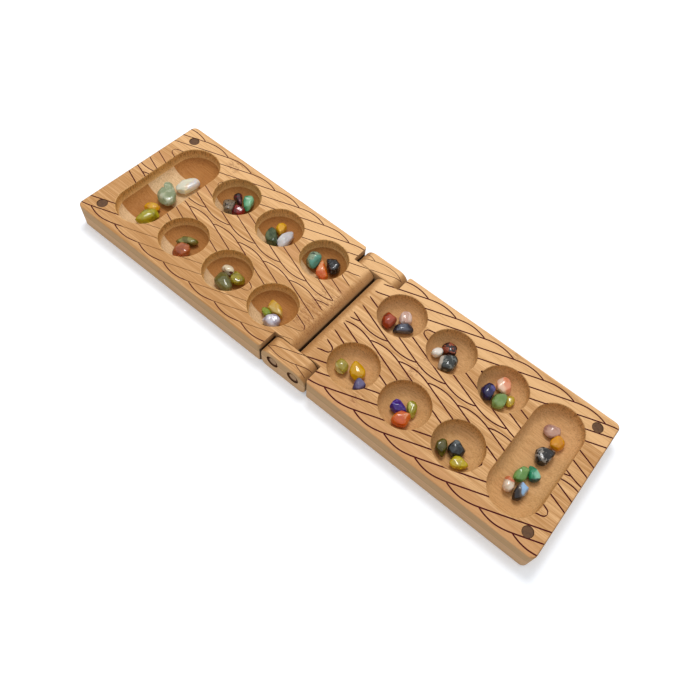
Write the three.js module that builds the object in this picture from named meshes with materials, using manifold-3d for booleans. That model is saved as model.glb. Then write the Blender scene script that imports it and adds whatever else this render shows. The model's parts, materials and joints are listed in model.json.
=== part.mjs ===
// Folding mancala board with 48 tumbled stones, lying open.
// Millimetres, +Z up. The origin is on the hinge's centre line at the underside.
// +X runs along the board to the right half and +Y to its far long side.
import * as THREE from 'three';
import { ConvexGeometry } from 'three/addons/geometries/ConvexGeometry.js';
import { mergeVertices } from 'three/addons/utils/BufferGeometryUtils.js';
import Module from 'manifold-3d';

const wasm = await Module();
wasm.setup();

// Pits, and the strips of wood left between them
const boardThickness = 21;
const pitRadius = 18.8;
const pitDepth = 13.5;
const coveRadius = 10.5;
const pitLand = 7.4;
const rowLand = 18.4;
const sideLand = 13.2;
const noseLand = 18.7;
const pitsPerRow = 3;

// Stores, cut like the pits but long
const storeHalfWidth = 19.7;
const storeLand = 7.0;
const endLand = 14.3;

// Rounded edges of the boards
const edgeRadius = 2.0;
const cornerRadius = 3.5;

// Hinge: a link on each side, with a dowel into each half
const pivotDepth = 9.0;
const foldGap = 0.8;
const linkEndReach = 10.9;
const linkTopRadius = 9.0;
const linkBottomRadius = 5.0;
const linkWidth = 15.4;
const linkEdgeRadius = 1.2;
const sideGap = 0.4;
const linkInset = 0.2;
const swingClearance = 0.8;
const dowelRadius = 4.5;
const dowelGrip = 20;
const dowelRecess = 0.6;
const dowelChamfer = 0.4;
const fitClearance = 0.3;
const runningClearance = 1.1;

// Magnets that hold the folded box shut
const magnetRadius = 4.0;
const magnetThickness = 3.0;
const magnetRecess = 0.4;
const magnetEndMargin = 12.8;
const magnetSideMargin = 13.0;

// Stones: how thick a common one is, which the others are shares of, and how much of the
// outline that is seen of each it has
const stoneThickness = 8.6;
const outlineShare = 0.94;
const stoneClearance = 0.3;
const rollStep = 0.3;
const rollReach = 6;
const gripShare = 0.35;

// One overrun for every cutter, and the fineness of round forms
const overrun = 6;
const bowlSides = 32;
const coveSteps = 4;
const roundSides = 24;
const rollWays = 12;

// Places that follow from the sizes above
const pitPitch = 2 * pitRadius + pitLand;
const pitRowY = rowLand / 2 + pitRadius;
const firstPitX = noseLand + pitRadius;
const storeX = firstPitX + (pitsPerRow - 1) * pitPitch + pitRadius + storeLand + storeHalfWidth;
const storeStraight = pitRowY + pitRadius - storeHalfWidth;
const boardLength = storeX + storeHalfWidth + endLand;
const halfWidth = pitRowY + pitRadius + sideLand;
const pivotX = pivotDepth + foldGap / 2;
const pivotZ = boardThickness - pivotDepth;
const noseX = foldGap / 2;
const linkInnerY = halfWidth - linkInset - linkWidth;
const tongueHalfWidth = linkInnerY - sideGap;
const linkSwing = linkTopRadius
  + Math.hypot(linkEndReach - linkTopRadius, pivotDepth - linkTopRadius);
const notchEnd = pivotX + linkSwing + swingClearance;
const magnetX = boardLength - magnetEndMargin;
const magnetY = halfWidth - magnetSideMargin;

const quarter = Math.PI / 2;

// A welded copy of a geometry, with its positions only and no empty triangles
function weld(geometry) {
  const bare = new THREE.BufferGeometry();
  bare.setAttribute('position', geometry.getAttribute('position'));
  if (geometry.index) bare.setIndex(geometry.index);
  const merged = mergeVertices(bare);
  const kept = [];
  const index = merged.index.array;
  for (let i = 0; i < index.length; i += 3) {
    const [a, b, c] = [index[i], index[i + 1], index[i + 2]];
    if (a !== b && b !== c && c !== a) kept.push(a, b, c);
  }
  merged.setIndex(kept);
  return merged;
}

function toManifold(geometry) {
  const welded = weld(geometry);
  return new wasm.Manifold(new wasm.Mesh({
    numProp: 3,
    vertProperties: Float32Array.from(welded.getAttribute('position').array),
    triVerts: Uint32Array.from(welded.index.array),
  }));
}

function fromManifold(manifold) {
  const mesh = manifold.getMesh();
  const geometry = new THREE.BufferGeometry();
  geometry.setAttribute('position', new THREE.BufferAttribute(mesh.vertProperties, mesh.numProp));
  geometry.setIndex(new THREE.BufferAttribute(mesh.triVerts, 1));
  return geometry;
}

function cutAll(body, cutters) {
  let result = toManifold(body);
  for (const cutter of cutters) result = result.subtract(toManifold(cutter));
  return fromManifold(result);
}

// An outline drawn in X and Z, made solid from y = low to y = high
function extrudeAcross(shape, low, high, options = {}) {
  const bevel = options.bevel ?? 0;
  const geometry = new THREE.ExtrudeGeometry(shape, {
    depth: high - low - 2 * bevel,
    bevelEnabled: bevel > 0,
    bevelThickness: bevel,
    bevelSize: bevel,
    bevelOffset: -bevel,
    bevelSegments: 2,
    curveSegments: options.curveSegments ?? 6,
  });
  geometry.rotateX(quarter);
  geometry.translate(0, high - bevel, 0);
  return geometry;
}

function boxBetween(x0, x1, y0, y1, z0, z1) {
  const geometry = new THREE.BoxGeometry(x1 - x0, y1 - y0, z1 - z0);
  geometry.translate((x0 + x1) / 2, (y0 + y1) / 2, (z0 + z1) / 2);
  return geometry;
}

// A round bar along Y, from y = low to y = high
function barAlongY(radius, low, high, x, z) {
  const geometry = new THREE.CylinderGeometry(radius, radius, high - low, roundSides);
  geometry.translate(x, (low + high) / 2, z);
  return geometry;
}

// The bowl bit's path: a flat floor, a cove, and an upright wall up to the rim.
// straight is half the length of the middle run, zero for a round pit.
function bowlCutter(rimRadius, straight) {
  const floorRadius = rimRadius - coveRadius;
  const floorZ = boardThickness - pitDepth;
  const profile = [new THREE.Vector2(0, floorZ)];
  for (let i = 0; i <= coveSteps; i++) {
    const angle = quarter * i / coveSteps;
    profile.push(new THREE.Vector2(
      floorRadius + coveRadius * Math.sin(angle),
      floorZ + coveRadius * (1 - Math.cos(angle)),
    ));
  }
  profile.push(new THREE.Vector2(rimRadius, boardThickness + overrun));
  profile.push(new THREE.Vector2(0, boardThickness + overrun));
  const geometry = new THREE.LatheGeometry(profile, bowlSides, Math.PI / bowlSides);
  geometry.rotateX(quarter);
  const positions = geometry.getAttribute('position');
  for (let i = 0; i < positions.count; i++) {
    const onAxis = Math.hypot(positions.getX(i), positions.getY(i)) < floorRadius / 2;
    if (!onAxis) positions.setY(i, positions.getY(i) + straight * Math.sign(positions.getY(i)));
  }
  return geometry;
}

// One half of the board, with +X pointing away from the hinge
function boardGeometry() {
  const outline = new THREE.Shape();
  outline.moveTo(-overrun, -halfWidth);
  outline.lineTo(boardLength - cornerRadius, -halfWidth);
  outline.absarc(boardLength - cornerRadius, -halfWidth + cornerRadius, cornerRadius, -quarter, 0);
  outline.lineTo(boardLength, halfWidth - cornerRadius);
  outline.absarc(boardLength - cornerRadius, halfWidth - cornerRadius, cornerRadius, 0, quarter);
  outline.lineTo(-overrun, halfWidth);
  outline.closePath();
  const slab = new THREE.ExtrudeGeometry(outline, {
    depth: boardThickness - 2 * edgeRadius,
    bevelThickness: edgeRadius,
    bevelSize: edgeRadius,
    bevelOffset: -edgeRadius,
    bevelSegments: 3,
    curveSegments: 4,
  });
  slab.translate(0, 0, edgeRadius);

  // The nose is round about the pivot above it and upright below, where the halves butt
  const nose = new THREE.Shape();
  nose.moveTo(boardLength + overrun, -overrun);
  nose.lineTo(boardLength + overrun, boardThickness + overrun);
  nose.lineTo(pivotX, boardThickness + overrun);
  nose.lineTo(pivotX, boardThickness);
  nose.absarc(pivotX, pivotZ, pivotDepth, quarter, Math.PI);
  nose.lineTo(noseX, edgeRadius);
  nose.absarc(noseX + edgeRadius, edgeRadius, edgeRadius, Math.PI, 3 * quarter);
  nose.lineTo(noseX + edgeRadius, -overrun);
  nose.closePath();
  const reach = halfWidth + overrun;
  const noseCutter = extrudeAcross(nose, -reach, reach, { curveSegments: 8 });

  const cutters = [bowlCutter(storeHalfWidth, storeStraight)];
  cutters[0].translate(storeX, 0, 0);
  const pocketFloor = boardThickness - magnetRecess - magnetThickness - fitClearance;
  for (const side of [-1, 1]) {
    for (let column = 0; column < pitsPerRow; column++) {
      const pit = bowlCutter(pitRadius, 0);
      pit.translate(firstPitX + column * pitPitch, side * pitRowY, 0);
      cutters.push(pit);
    }
    const [innerY, outerY] = [tongueHalfWidth, reach].map((y) => side * y);
    cutters.push(boxBetween(-2 * overrun, notchEnd, Math.min(innerY, outerY),
      Math.max(innerY, outerY), -overrun, boardThickness + overrun));
    const [mouthY, endY] = [reach, linkInnerY - dowelGrip - fitClearance].map((y) => side * y);
    cutters.push(barAlongY(dowelRadius + fitClearance, Math.min(mouthY, endY),
      Math.max(mouthY, endY), pivotX, pivotZ));
    const pocket = new THREE.CylinderGeometry(magnetRadius + fitClearance,
      magnetRadius + fitClearance, boardThickness + overrun - pocketFloor, roundSides);
    pocket.rotateX(quarter);
    pocket.translate(magnetX, side * magnetY, (boardThickness + overrun + pocketFloor) / 2);
    cutters.push(pocket);
  }
  const body = fromManifold(toManifold(slab).intersect(toManifold(noseCutter)));
  return cutAll(body, cutters);
}

// A hinge link for the side at +Y, with a running bore at each end
function linkGeometry() {
  const end = pivotX + linkEndReach;
  const outline = new THREE.Shape();
  outline.moveTo(-end + linkBottomRadius, 0);
  outline.lineTo(end - linkBottomRadius, 0);
  outline.absarc(end - linkBottomRadius, linkBottomRadius, linkBottomRadius, -quarter, 0);
  outline.lineTo(end, boardThickness - linkTopRadius);
  outline.absarc(end - linkTopRadius, boardThickness - linkTopRadius, linkTopRadius, 0, quarter);
  outline.lineTo(-end + linkTopRadius, boardThickness);
  outline.absarc(-end + linkTopRadius, boardThickness - linkTopRadius, linkTopRadius,
    quarter, Math.PI);
  outline.lineTo(-end, linkBottomRadius);
  outline.absarc(-end + linkBottomRadius, linkBottomRadius, linkBottomRadius,
    Math.PI, 3 * quarter);
  const body = extrudeAcross(outline, linkInnerY, linkInnerY + linkWidth,
    { bevel: linkEdgeRadius });
  const bores = [-pivotX, pivotX].map((x) => barAlongY(dowelRadius + runningClearance,
    linkInnerY - overrun, halfWidth + overrun, x, pivotZ));
  return cutAll(body, bores);
}

// A hinge dowel for the side at +Y: from inside the link's bore into the half's nose
function dowelGeometry() {
  const low = linkInnerY - dowelGrip;
  const high = halfWidth - linkInset - dowelRecess;
  const geometry = new THREE.LatheGeometry([
    new THREE.Vector2(0, low),
    new THREE.Vector2(dowelRadius - dowelChamfer, low),
    new THREE.Vector2(dowelRadius, low + dowelChamfer),
    new THREE.Vector2(dowelRadius, high - dowelChamfer),
    new THREE.Vector2(dowelRadius - dowelChamfer, high),
    new THREE.Vector2(0, high),
  ], roundSides);
  return weld(geometry);
}

// The rings of corners that a stone is worn down to, from its underside up: height as a share
// of its half thickness, reach as a share of its outline, and which corners are left
const stoneRingShares = [
  { height: -1, reach: 0.5, every: 2 },
  { height: -0.6, reach: 0.85, every: 1 },
  { height: 0, reach: 1, every: 1 },
  { height: 0.6, reach: 0.85, every: 1 },
  { height: 1, reach: 0.5, every: 2 },
];
const wearShare = 0.12;

// A stone's corners about its own middle. No two stones are worn alike.
function stoneCorners(outline, halfThickness, seed) {
  const wearX = wearShare * halfThickness * Math.sin(seed * 2.1);
  const wearY = wearShare * halfThickness * Math.cos(seed * 3.7);
  return stoneRingShares.map(({ height, reach }) => outline.map((corner, i) => {
    const wear = 1 - wearShare * (1 + Math.sin(seed * 2.3 + i * 1.9));
    return new THREE.Vector3(
      corner.x * reach + wearX * height,
      corner.y * reach + wearY * height,
      height * halfThickness * wear,
    );
  }));
}

// The skin stretched over all of a stone's corners
function stoneSkin(rings) {
  const corners = rings.flatMap((ring, k) => ring.filter(
    (corner, i) => i % stoneRingShares[k].every === 0,
  ));
  return weld(new ConvexGeometry(corners));
}

// A stone with a notch in its outline, which a stretched skin would close
function notchedStone(rings) {
  const positions = [];
  const count = rings[0].length;
  const addTriangle = (...corners) => corners.forEach((c) => positions.push(c.x, c.y, c.z));
  for (let k = 0; k + 1 < rings.length; k++) {
    for (let i = 0; i < count; i++) {
      const j = (i + 1) % count;
      addTriangle(rings[k][i], rings[k + 1][i], rings[k][j]);
      addTriangle(rings[k][j], rings[k + 1][i], rings[k + 1][j]);
    }
  }
  for (const ring of [rings[0], rings[rings.length - 1]]) {
    const middle = new THREE.Vector3();
    for (const corner of ring) middle.addScaledVector(corner, 1 / count);
    ring.forEach((corner, i) => {
      const next = ring[(i + 1) % count];
      if (ring === rings[0]) addTriangle(middle, corner, next);
      else addTriangle(middle, next, corner);
    });
  }
  const geometry = new THREE.BufferGeometry();
  geometry.setAttribute('position', new THREE.Float32BufferAttribute(positions, 3));
  return weld(geometry);
}

// How high a clear gap over the bowl's surface lies at a place in it. Facets stand in from
// the true curve, so the gap allows for them. Past the wall the height shoots up.
function bowlHeightAt(x, y, rimRadius, straight) {
  const out = Math.hypot(x, Math.max(0, Math.abs(y) - straight));
  const floorRadius = rimRadius - coveRadius;
  const floorZ = boardThickness - pitDepth;
  if (out <= floorRadius - stoneClearance) return floorZ + stoneClearance;
  const facets = coveRadius * (1 - Math.cos(quarter / coveSteps / 2))
    + rimRadius * (1 - Math.cos(Math.PI / bowlSides));
  const inset = coveRadius - stoneClearance - facets;
  const across = Math.max(0, out - floorRadius);
  if (across > inset) return floorZ + coveRadius + (across - inset) * bowlSides;
  return floorZ + coveRadius - Math.sqrt(inset * inset - across * across);
}

function cornersOf(geometry, offset) {
  const positions = geometry.getAttribute('position');
  const corners = [];
  for (let i = 0; i < positions.count; i++) {
    corners.push(new THREE.Vector3().fromBufferAttribute(positions, i).add(offset));
  }
  return corners;
}

// The planes of a stone's faces, for finding where it lies over or under another
function facePlanes(geometry, offset) {
  const positions = geometry.getAttribute('position');
  const index = geometry.index.array;
  const triangle = new THREE.Triangle();
  const planes = [];
  for (let i = 0; i < index.length; i += 3) {
    triangle.setFromAttributeAndIndices(positions, index[i], index[i + 1], index[i + 2]);
    const plane = new THREE.Plane();
    triangle.getPlane(plane);
    plane.constant -= plane.normal.dot(offset);
    planes.push(plane);
  }
  return planes;
}

// The lowest and highest points of a stone, grown by the clearance, on a vertical line
function spanOnLine(planes, x, y) {
  let low = -Infinity;
  let high = Infinity;
  for (const { normal, constant } of planes) {
    const left = stoneClearance - constant - normal.x * x - normal.y * y;
    if (normal.z > 1e-6) high = Math.min(high, left / normal.z);
    else if (normal.z < -1e-6) low = Math.max(low, left / normal.z);
    else if (left < 0) return null;
  }
  return low < high ? { low, high } : null;
}

// Lets a stone down until it lies a clearance above the bowl and the stones under it
function seatHeight(geometry, x, y, rimRadius, straight, others) {
  const positions = geometry.getAttribute('position');
  const point = new THREE.Vector3();
  let height = -Infinity;
  for (let i = 0; i < positions.count; i++) {
    point.fromBufferAttribute(positions, i);
    const under = bowlHeightAt(x + point.x, y + point.y, rimRadius, straight);
    height = Math.max(height, under - point.z);
    for (const other of others) {
      const span = spanOnLine(other.planes, x + point.x, y + point.y);
      if (span) height = Math.max(height, span.high - point.z);
    }
  }
  const planes = facePlanes(geometry, new THREE.Vector3(x, y, 0));
  for (const other of others) {
    for (const corner of other.corners) {
      const span = spanOnLine(planes, corner.x, corner.y);
      if (span) height = Math.max(height, corner.z - span.low);
    }
  }
  return height;
}

// A stone rolls down from where it is put while its way is steep enough, and comes to lie
// on the floor or cove beside the ones before it
function rollToRest(geometry, x, y, rimRadius, straight, others) {
  const place = { x, y, height: seatHeight(geometry, x, y, rimRadius, straight, others) };
  for (let travel = 0; travel < rollReach; travel += rollStep) {
    let best = null;
    for (let i = 0; i < rollWays; i++) {
      const way = 2 * Math.PI * i / rollWays;
      const nextX = place.x + rollStep * Math.cos(way);
      const nextY = place.y + rollStep * Math.sin(way);
      const height = seatHeight(geometry, nextX, nextY, rimRadius, straight, others);
      if (!best || height < best.height) best = { x: nextX, y: nextY, height };
    }
    if (place.height - best.height < gripShare * rollStep) break;
    Object.assign(place, best);
  }
  return place;
}

// The stones of each pit and store, in the order in which they lie on each other.
// Columns: name, colour, thickness as a share of a common stone's, and the corners of its
// outline as shares of a pit's radius from the middle of its pit or store.
const stoneShares = {
  left_store: [
    ['amber', 0xd9a01c, 0.75, [[-0.32, -1.04], [-0.14, -0.82], [0.06, -0.76], [0.26, -0.84],
      [0.3, -1.0], [0.1, -1.2], [-0.12, -1.32], [-0.28, -1.2]]],
    ['olive', 0xa8a41c, 1.0, [[-0.04, -1.4], [0.08, -1.06], [0.28, -0.98], [0.54, -1.08],
      [0.58, -1.24], [0.48, -1.56], [0.4, -1.92], [0.08, -1.98], [-0.08, -1.8]]],
    ['heart', 0x8fa68c, 1.1, [[-0.46, 0.04], [-0.54, 0.16], [-0.44, 0.36], [-0.26, 0.4],
      [0.16, 0.16], [0.48, -0.12], [0.56, -0.34], [0.42, -0.58], [0.12, -0.7],
      [-0.16, -0.6], [-0.36, -0.4], [-0.42, -0.14], [-0.32, -0.03]], 'notched'],
    ['quartz', 0xe6dccb, 0.95, [[-0.16, 0.66], [-0.06, 1.0], [0.1, 1.28], [0.28, 1.34],
      [0.48, 1.2], [0.54, 0.98], [0.46, 0.62], [0.32, 0.3], [0.08, 0.22], [-0.12, 0.42]]],
  ],
  left_outer_near_pit: [
    ['twig', 0x5d6136, 0.75, [[-0.48, -0.04], [-0.46, 0.1], [-0.24, 0.32], [0.02, 0.46],
      [0.2, 0.5], [0.32, 0.4], [0.24, 0.2], [-0.04, -0.02], [-0.22, -0.18], [-0.38, -0.18]]],
    ['salmon', 0xb5624b, 1.0, [[-0.2, -0.28], [-0.06, 0.02], [0.1, 0.06], [0.32, -0.08],
      [0.48, -0.36], [0.42, -0.54], [0.16, -0.72], [-0.04, -0.7], [-0.22, -0.48]]],
  ],
  left_middle_near_pit: [
    ['moss', 0x7f8a66, 1.1, [[-0.4, -0.04], [-0.34, 0.07], [-0.2, 0.1], [0.2, -0.12],
      [0.48, -0.26], [0.54, -0.42], [0.38, -0.6], [0.1, -0.65], [-0.26, -0.56],
      [-0.4, -0.36]]],
    ['citrine', 0xb1a23a, 0.8, [[0.0, 0.14], [-0.04, 0.36], [0.2, 0.44], [0.48, 0.4],
      [0.64, 0.22], [0.56, 0.06], [0.32, -0.12], [0.1, -0.04]]],
    ['dalmatian', 0xd8cdb4, 0.7, [[-0.5, 0.16], [-0.38, 0.34], [-0.18, 0.41], [0.02, 0.34],
      [0.04, 0.16], [-0.06, 0.04], [-0.28, 0.02], [-0.46, 0.04]]],
  ],
  left_inner_near_pit: [
    ['honey', 0xd0ab45, 0.85, [[-0.4, 0.12], [-0.42, 0.3], [-0.36, 0.4], [-0.15, 0.4],
      [0.1, 0.34], [0.32, 0.16], [0.44, 0.0], [0.36, -0.1], [0.05, -0.08], [-0.24, -0.03]]],
    ['lime', 0x9aa82b, 0.75, [[-0.46, -0.1], [-0.38, -0.02], [-0.26, -0.02], [-0.02, -0.08],
      [0.06, -0.14], [-0.02, -0.32], [-0.12, -0.38], [-0.28, -0.34], [-0.42, -0.22]]],
    ['lavender', 0xc7c3d4, 0.9, [[-0.1, -0.4], [0.08, -0.14], [0.2, 0.0], [0.38, 0.01],
      [0.54, -0.12], [0.57, -0.36], [0.42, -0.55], [0.22, -0.6], [0.02, -0.55]]],
  ],
  left_outer_far_pit: [
    ['granite', 0x77726a, 0.9, [[-0.5, -0.12], [-0.32, 0.04], [-0.2, 0.06], [-0.08, -0.1],
      [0.04, -0.34], [0.14, -0.56], [-0.02, -0.68], [-0.16, -0.64], [-0.46, -0.4],
      [-0.58, -0.26]]],
    ['garnet', 0x8c2f25, 0.85, [[0.0, -0.26], [-0.05, -0.02], [0.12, 0.0], [0.34, 0.02],
      [0.56, -0.1], [0.57, -0.26], [0.38, -0.48], [0.2, -0.58], [0.1, -0.5]]],
    ['jade', 0x3f9077, 0.85, [[-0.04, 0.42], [-0.12, 0.6], [-0.05, 0.73], [0.12, 0.77],
      [0.3, 0.7], [0.48, 0.42], [0.56, 0.08], [0.52, -0.04], [0.4, -0.02], [0.1, 0.22]]],
    ['onyx', 0x2f2426, 0.85, [[-0.52, 0.34], [-0.44, 0.52], [-0.34, 0.55], [-0.16, 0.44],
      [0.06, 0.2], [0.18, 0.02], [0.0, 0.0], [-0.34, 0.1], [-0.48, 0.2]]],
  ],
  left_middle_far_pit: [
    ['topaz', 0xd8a42a, 0.95, [[-0.44, 0.2], [-0.34, 0.48], [-0.26, 0.57], [-0.16, 0.56],
      [0.04, 0.38], [0.06, 0.12], [0.0, -0.04], [-0.16, 0.0], [-0.32, 0.08]]],
    ['pine', 0x35523c, 1.0, [[-0.48, -0.1], [-0.44, 0.03], [-0.34, 0.05], [-0.16, -0.04],
      [0.06, -0.22], [0.28, -0.52], [0.14, -0.65], [-0.1, -0.7], [-0.32, -0.54],
      [-0.46, -0.34]]],
    ['milk', 0xdfdcd9, 0.95, [[0.07, 0.28], [0.14, 0.46], [0.24, 0.52], [0.34, 0.48],
      [0.5, 0.22], [0.58, -0.08], [0.6, -0.26], [0.46, -0.48], [0.32, -0.53], [0.12, -0.36],
      [0.04, -0.1]]],
  ],
  left_inner_far_pit: [
    ['turquoise', 0x63a08d, 1.05, [[-0.86, 0.06], [-0.7, 0.22], [-0.56, 0.34], [-0.42, 0.3],
      [-0.27, 0.1], [-0.2, -0.2], [-0.24, -0.4], [-0.48, -0.46], [-0.7, -0.38],
      [-0.86, -0.1]]],
    ['carnelian', 0xd96a3a, 0.95, [[-0.26, 0.02], [-0.28, 0.24], [-0.16, 0.18], [0.06, 0.02],
      [0.34, -0.22], [0.43, -0.38], [0.34, -0.5], [0.1, -0.56], [-0.08, -0.5],
      [-0.18, -0.26]]],
    ['basalt', 0x2b2b2b, 1.05, [[-0.13, 0.32], [-0.1, 0.46], [0.06, 0.55], [0.3, 0.57],
      [0.52, 0.49], [0.63, 0.3], [0.6, 0.08], [0.5, -0.1], [0.36, -0.1], [0.06, 0.12]]],
  ],
  right_inner_far_pit: [
    ['brick', 0x8e3524, 1.0, [[-0.7, -0.04], [-0.56, 0.06], [-0.34, 0.08], [-0.18, 0.0],
      [-0.1, -0.24], [-0.12, -0.52], [-0.3, -0.64], [-0.48, -0.6], [-0.64, -0.44],
      [-0.71, -0.24]]],
    ['slate', 0x5a6578, 0.85, [[-0.08, -0.3], [0.02, -0.1], [0.34, 0.2], [0.48, 0.19],
      [0.66, 0.04], [0.64, -0.08], [0.44, -0.2], [0.2, -0.4], [0.02, -0.5],
      [-0.09, -0.46]]],
    ['shell', 0xc9a893, 0.9, [[-0.22, 0.3], [-0.18, 0.48], [-0.06, 0.6], [0.1, 0.58],
      [0.26, 0.42], [0.36, 0.26], [0.3, 0.12], [0.08, 0.02], [-0.06, -0.04],
      [-0.2, 0.1]]],
  ],
  right_middle_far_pit: [
    ['chalk', 0xdedad0, 0.8, [[-0.72, -0.12], [-0.64, 0.06], [-0.52, 0.12], [-0.36, 0.1],
      [-0.28, -0.04], [-0.3, -0.18], [-0.42, -0.32], [-0.54, -0.38], [-0.66, -0.3]]],
    ['jasper', 0x7c3c2c, 0.95, [[-0.54, 0.3], [-0.46, 0.43], [-0.36, 0.55], [-0.24, 0.62],
      [-0.1, 0.56], [0.06, 0.4], [0.14, 0.2], [0.04, 0.05], [-0.12, 0.02], [-0.46, 0.12]]],
    ['flint', 0x4b534d, 1.0, [[-0.28, -0.2], [-0.14, -0.06], [0.14, 0.16], [0.26, 0.14],
      [0.38, -0.06], [0.45, -0.32], [0.42, -0.44], [0.14, -0.6], [-0.06, -0.68],
      [-0.22, -0.58], [-0.29, -0.4]]],
  ],
  right_outer_far_pit: [
    ['sapphire', 0x2f2f6e, 1.0, [[-0.72, -0.18], [-0.62, 0.01], [-0.48, 0.15], [-0.38, 0.15],
      [-0.22, 0.0], [-0.14, -0.22], [-0.18, -0.5], [-0.3, -0.6], [-0.44, -0.58],
      [-0.6, -0.4]]],
    ['fern', 0x85b277, 0.95, [[-0.18, -0.06], [0.0, 0.04], [0.16, 0.14], [0.26, 0.04],
      [0.38, -0.22], [0.39, -0.44], [0.24, -0.58], [0.06, -0.64], [-0.12, -0.52],
      [-0.17, -0.3]]],
    ['peach', 0xd9926b, 1.0, [[-0.42, 0.18], [-0.38, 0.42], [-0.26, 0.7], [-0.12, 0.82],
      [0.02, 0.8], [0.14, 0.64], [0.27, 0.38], [0.27, 0.22], [0.1, 0.06], [-0.26, 0.06]]],
    ['lemon', 0xc7b04c, 0.7, [[0.23, 0.14], [0.34, 0.28], [0.48, 0.28], [0.6, 0.16],
      [0.64, 0.0], [0.58, -0.16], [0.48, -0.22], [0.34, -0.1]]],
  ],
  right_inner_near_pit: [
    ['straw', 0xb9ad5e, 0.95, [[-0.74, -0.12], [-0.7, 0.06], [-0.58, 0.16], [-0.36, 0.16],
      [-0.2, 0.0], [-0.16, -0.16], [-0.26, -0.32], [-0.4, -0.4], [-0.56, -0.37],
      [-0.7, -0.26]]],
    ['sun', 0xd0a013, 1.0, [[-0.26, 0.34], [-0.18, 0.44], [0.04, 0.44], [0.26, 0.35],
      [0.44, 0.2], [0.5, 0.04], [0.44, -0.12], [0.32, -0.2], [0.12, -0.24], [-0.1, -0.12],
      [-0.24, 0.12]]],
    ['iris', 0x4b4480, 0.9, [[0.26, -0.08], [0.34, -0.01], [0.54, -0.02], [0.7, -0.09],
      [0.77, -0.2], [0.68, -0.36], [0.5, -0.56], [0.4, -0.5], [0.27, -0.26]]],
  ],
  right_middle_near_pit: [
    ['amethyst', 0x3c2480, 0.95, [[-0.52, 0.04], [-0.46, 0.2], [-0.34, 0.27], [-0.18, 0.24],
      [0.14, 0.07], [0.17, 0.0], [-0.04, -0.1], [-0.2, -0.26], [-0.4, -0.27],
      [-0.49, -0.14]]],
    ['olivine', 0xa09c3a, 0.8, [[-0.08, 0.36], [0.02, 0.52], [0.14, 0.58], [0.26, 0.5],
      [0.38, 0.3], [0.47, 0.06], [0.44, -0.06], [0.3, -0.04], [0.02, 0.18]]],
    ['ember', 0xcc5a28, 1.05, [[-0.14, -0.2], [-0.02, -0.1], [0.34, 0.04], [0.46, -0.04],
      [0.52, -0.34], [0.42, -0.54], [0.2, -0.66], [0.0, -0.68], [-0.12, -0.56],
      [-0.15, -0.38]]],
  ],
  right_outer_near_pit: [
    ['bottle', 0x55552f, 0.95, [[-0.74, -0.24], [-0.66, -0.06], [-0.54, 0.08], [-0.43, 0.08],
      [-0.32, -0.08], [-0.2, -0.34], [-0.2, -0.48], [-0.28, -0.58], [-0.54, -0.48],
      [-0.7, -0.38]]],
    ['coal', 0x2f3434, 1.0, [[-0.31, 0.1], [-0.24, 0.31], [-0.14, 0.36], [0.24, 0.28],
      [0.34, 0.18], [0.32, -0.05], [0.06, -0.22], [-0.05, -0.29], [-0.2, -0.22],
      [-0.33, -0.04]]],
    ['canary', 0xc9bb3c, 0.8, [[0.02, -0.38], [0.08, -0.2], [0.18, -0.08], [0.32, -0.1],
      [0.6, -0.13], [0.7, -0.2], [0.66, -0.34], [0.52, -0.5], [0.34, -0.62],
      [0.16, -0.62], [0.05, -0.53]]],
  ],
  right_store: [
    ['marigold', 0xd9a000, 0.9, [[0.04, 1.22], [0.14, 1.44], [0.26, 1.54], [0.5, 1.46],
      [0.6, 1.32], [0.6, 1.16], [0.48, 0.97], [0.32, 0.92], [0.16, 0.93], [0.05, 1.08]]],
    ['mauve', 0xb58f8f, 0.8, [[-0.42, 1.46], [-0.4, 1.62], [-0.2, 1.72], [0.04, 1.84],
      [0.18, 1.84], [0.28, 1.7], [0.24, 1.54], [0.06, 1.28], [-0.14, 1.22],
      [-0.34, 1.32]]],
    ['obsidian', 0x3a3836, 1.1, [[-0.2, 0.52], [-0.12, 0.68], [0.08, 0.8], [0.42, 0.88],
      [0.49, 0.76], [0.48, 0.46], [0.42, 0.2], [0.28, 0.05], [0.18, 0.04], [0.02, 0.16],
      [-0.16, 0.38]]],
    ['malachite', 0x3f9c78, 0.85, [[-0.05, -0.2], [0.08, -0.12], [0.24, -0.14], [0.44, -0.22],
      [0.57, -0.34], [0.57, -0.46], [0.44, -0.62], [0.32, -0.7], [0.2, -0.62],
      [0.06, -0.36]]],
    ['apple', 0x8fbf78, 0.95, [[-0.3, -0.5], [-0.22, -0.38], [-0.06, -0.32], [0.08, -0.35],
      [0.18, -0.48], [0.2, -0.74], [0.06, -0.92], [-0.08, -1.02], [-0.18, -1.0],
      [-0.3, -0.8]]],
    ['coral', 0xd39a78, 0.9, [[-0.5, -1.18], [-0.43, -1.05], [-0.3, -1.02], [-0.12, -1.08],
      [-0.02, -1.26], [-0.05, -1.46], [-0.16, -1.6], [-0.3, -1.61], [-0.42, -1.44]]],
    ['agate', 0x8fa5b8, 0.95, [[0.01, -1.12], [0.07, -0.9], [0.2, -0.88], [0.4, -0.88],
      [0.42, -1.02], [0.44, -1.36], [0.34, -1.52], [0.2, -1.66], [0.08, -1.6],
      [0.0, -1.34]]],
  ],
};

const wood = new THREE.MeshStandardMaterial({ color: 0xdeb27e, roughness: 0.5, metalness: 0 });
const linkWood = new THREE.MeshStandardMaterial({ color: 0xd9a873, roughness: 0.5, metalness: 0 });
const dowelWood = new THREE.MeshStandardMaterial({ color: 0xa88661, roughness: 0.6, metalness: 0 });
const steel = new THREE.MeshStandardMaterial({ color: 0x7a6650, roughness: 0.45, metalness: 0.8 });

function namedMesh(name, geometry, material) {
  const mesh = new THREE.Mesh(geometry, material);
  mesh.name = name;
  return mesh;
}

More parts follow.
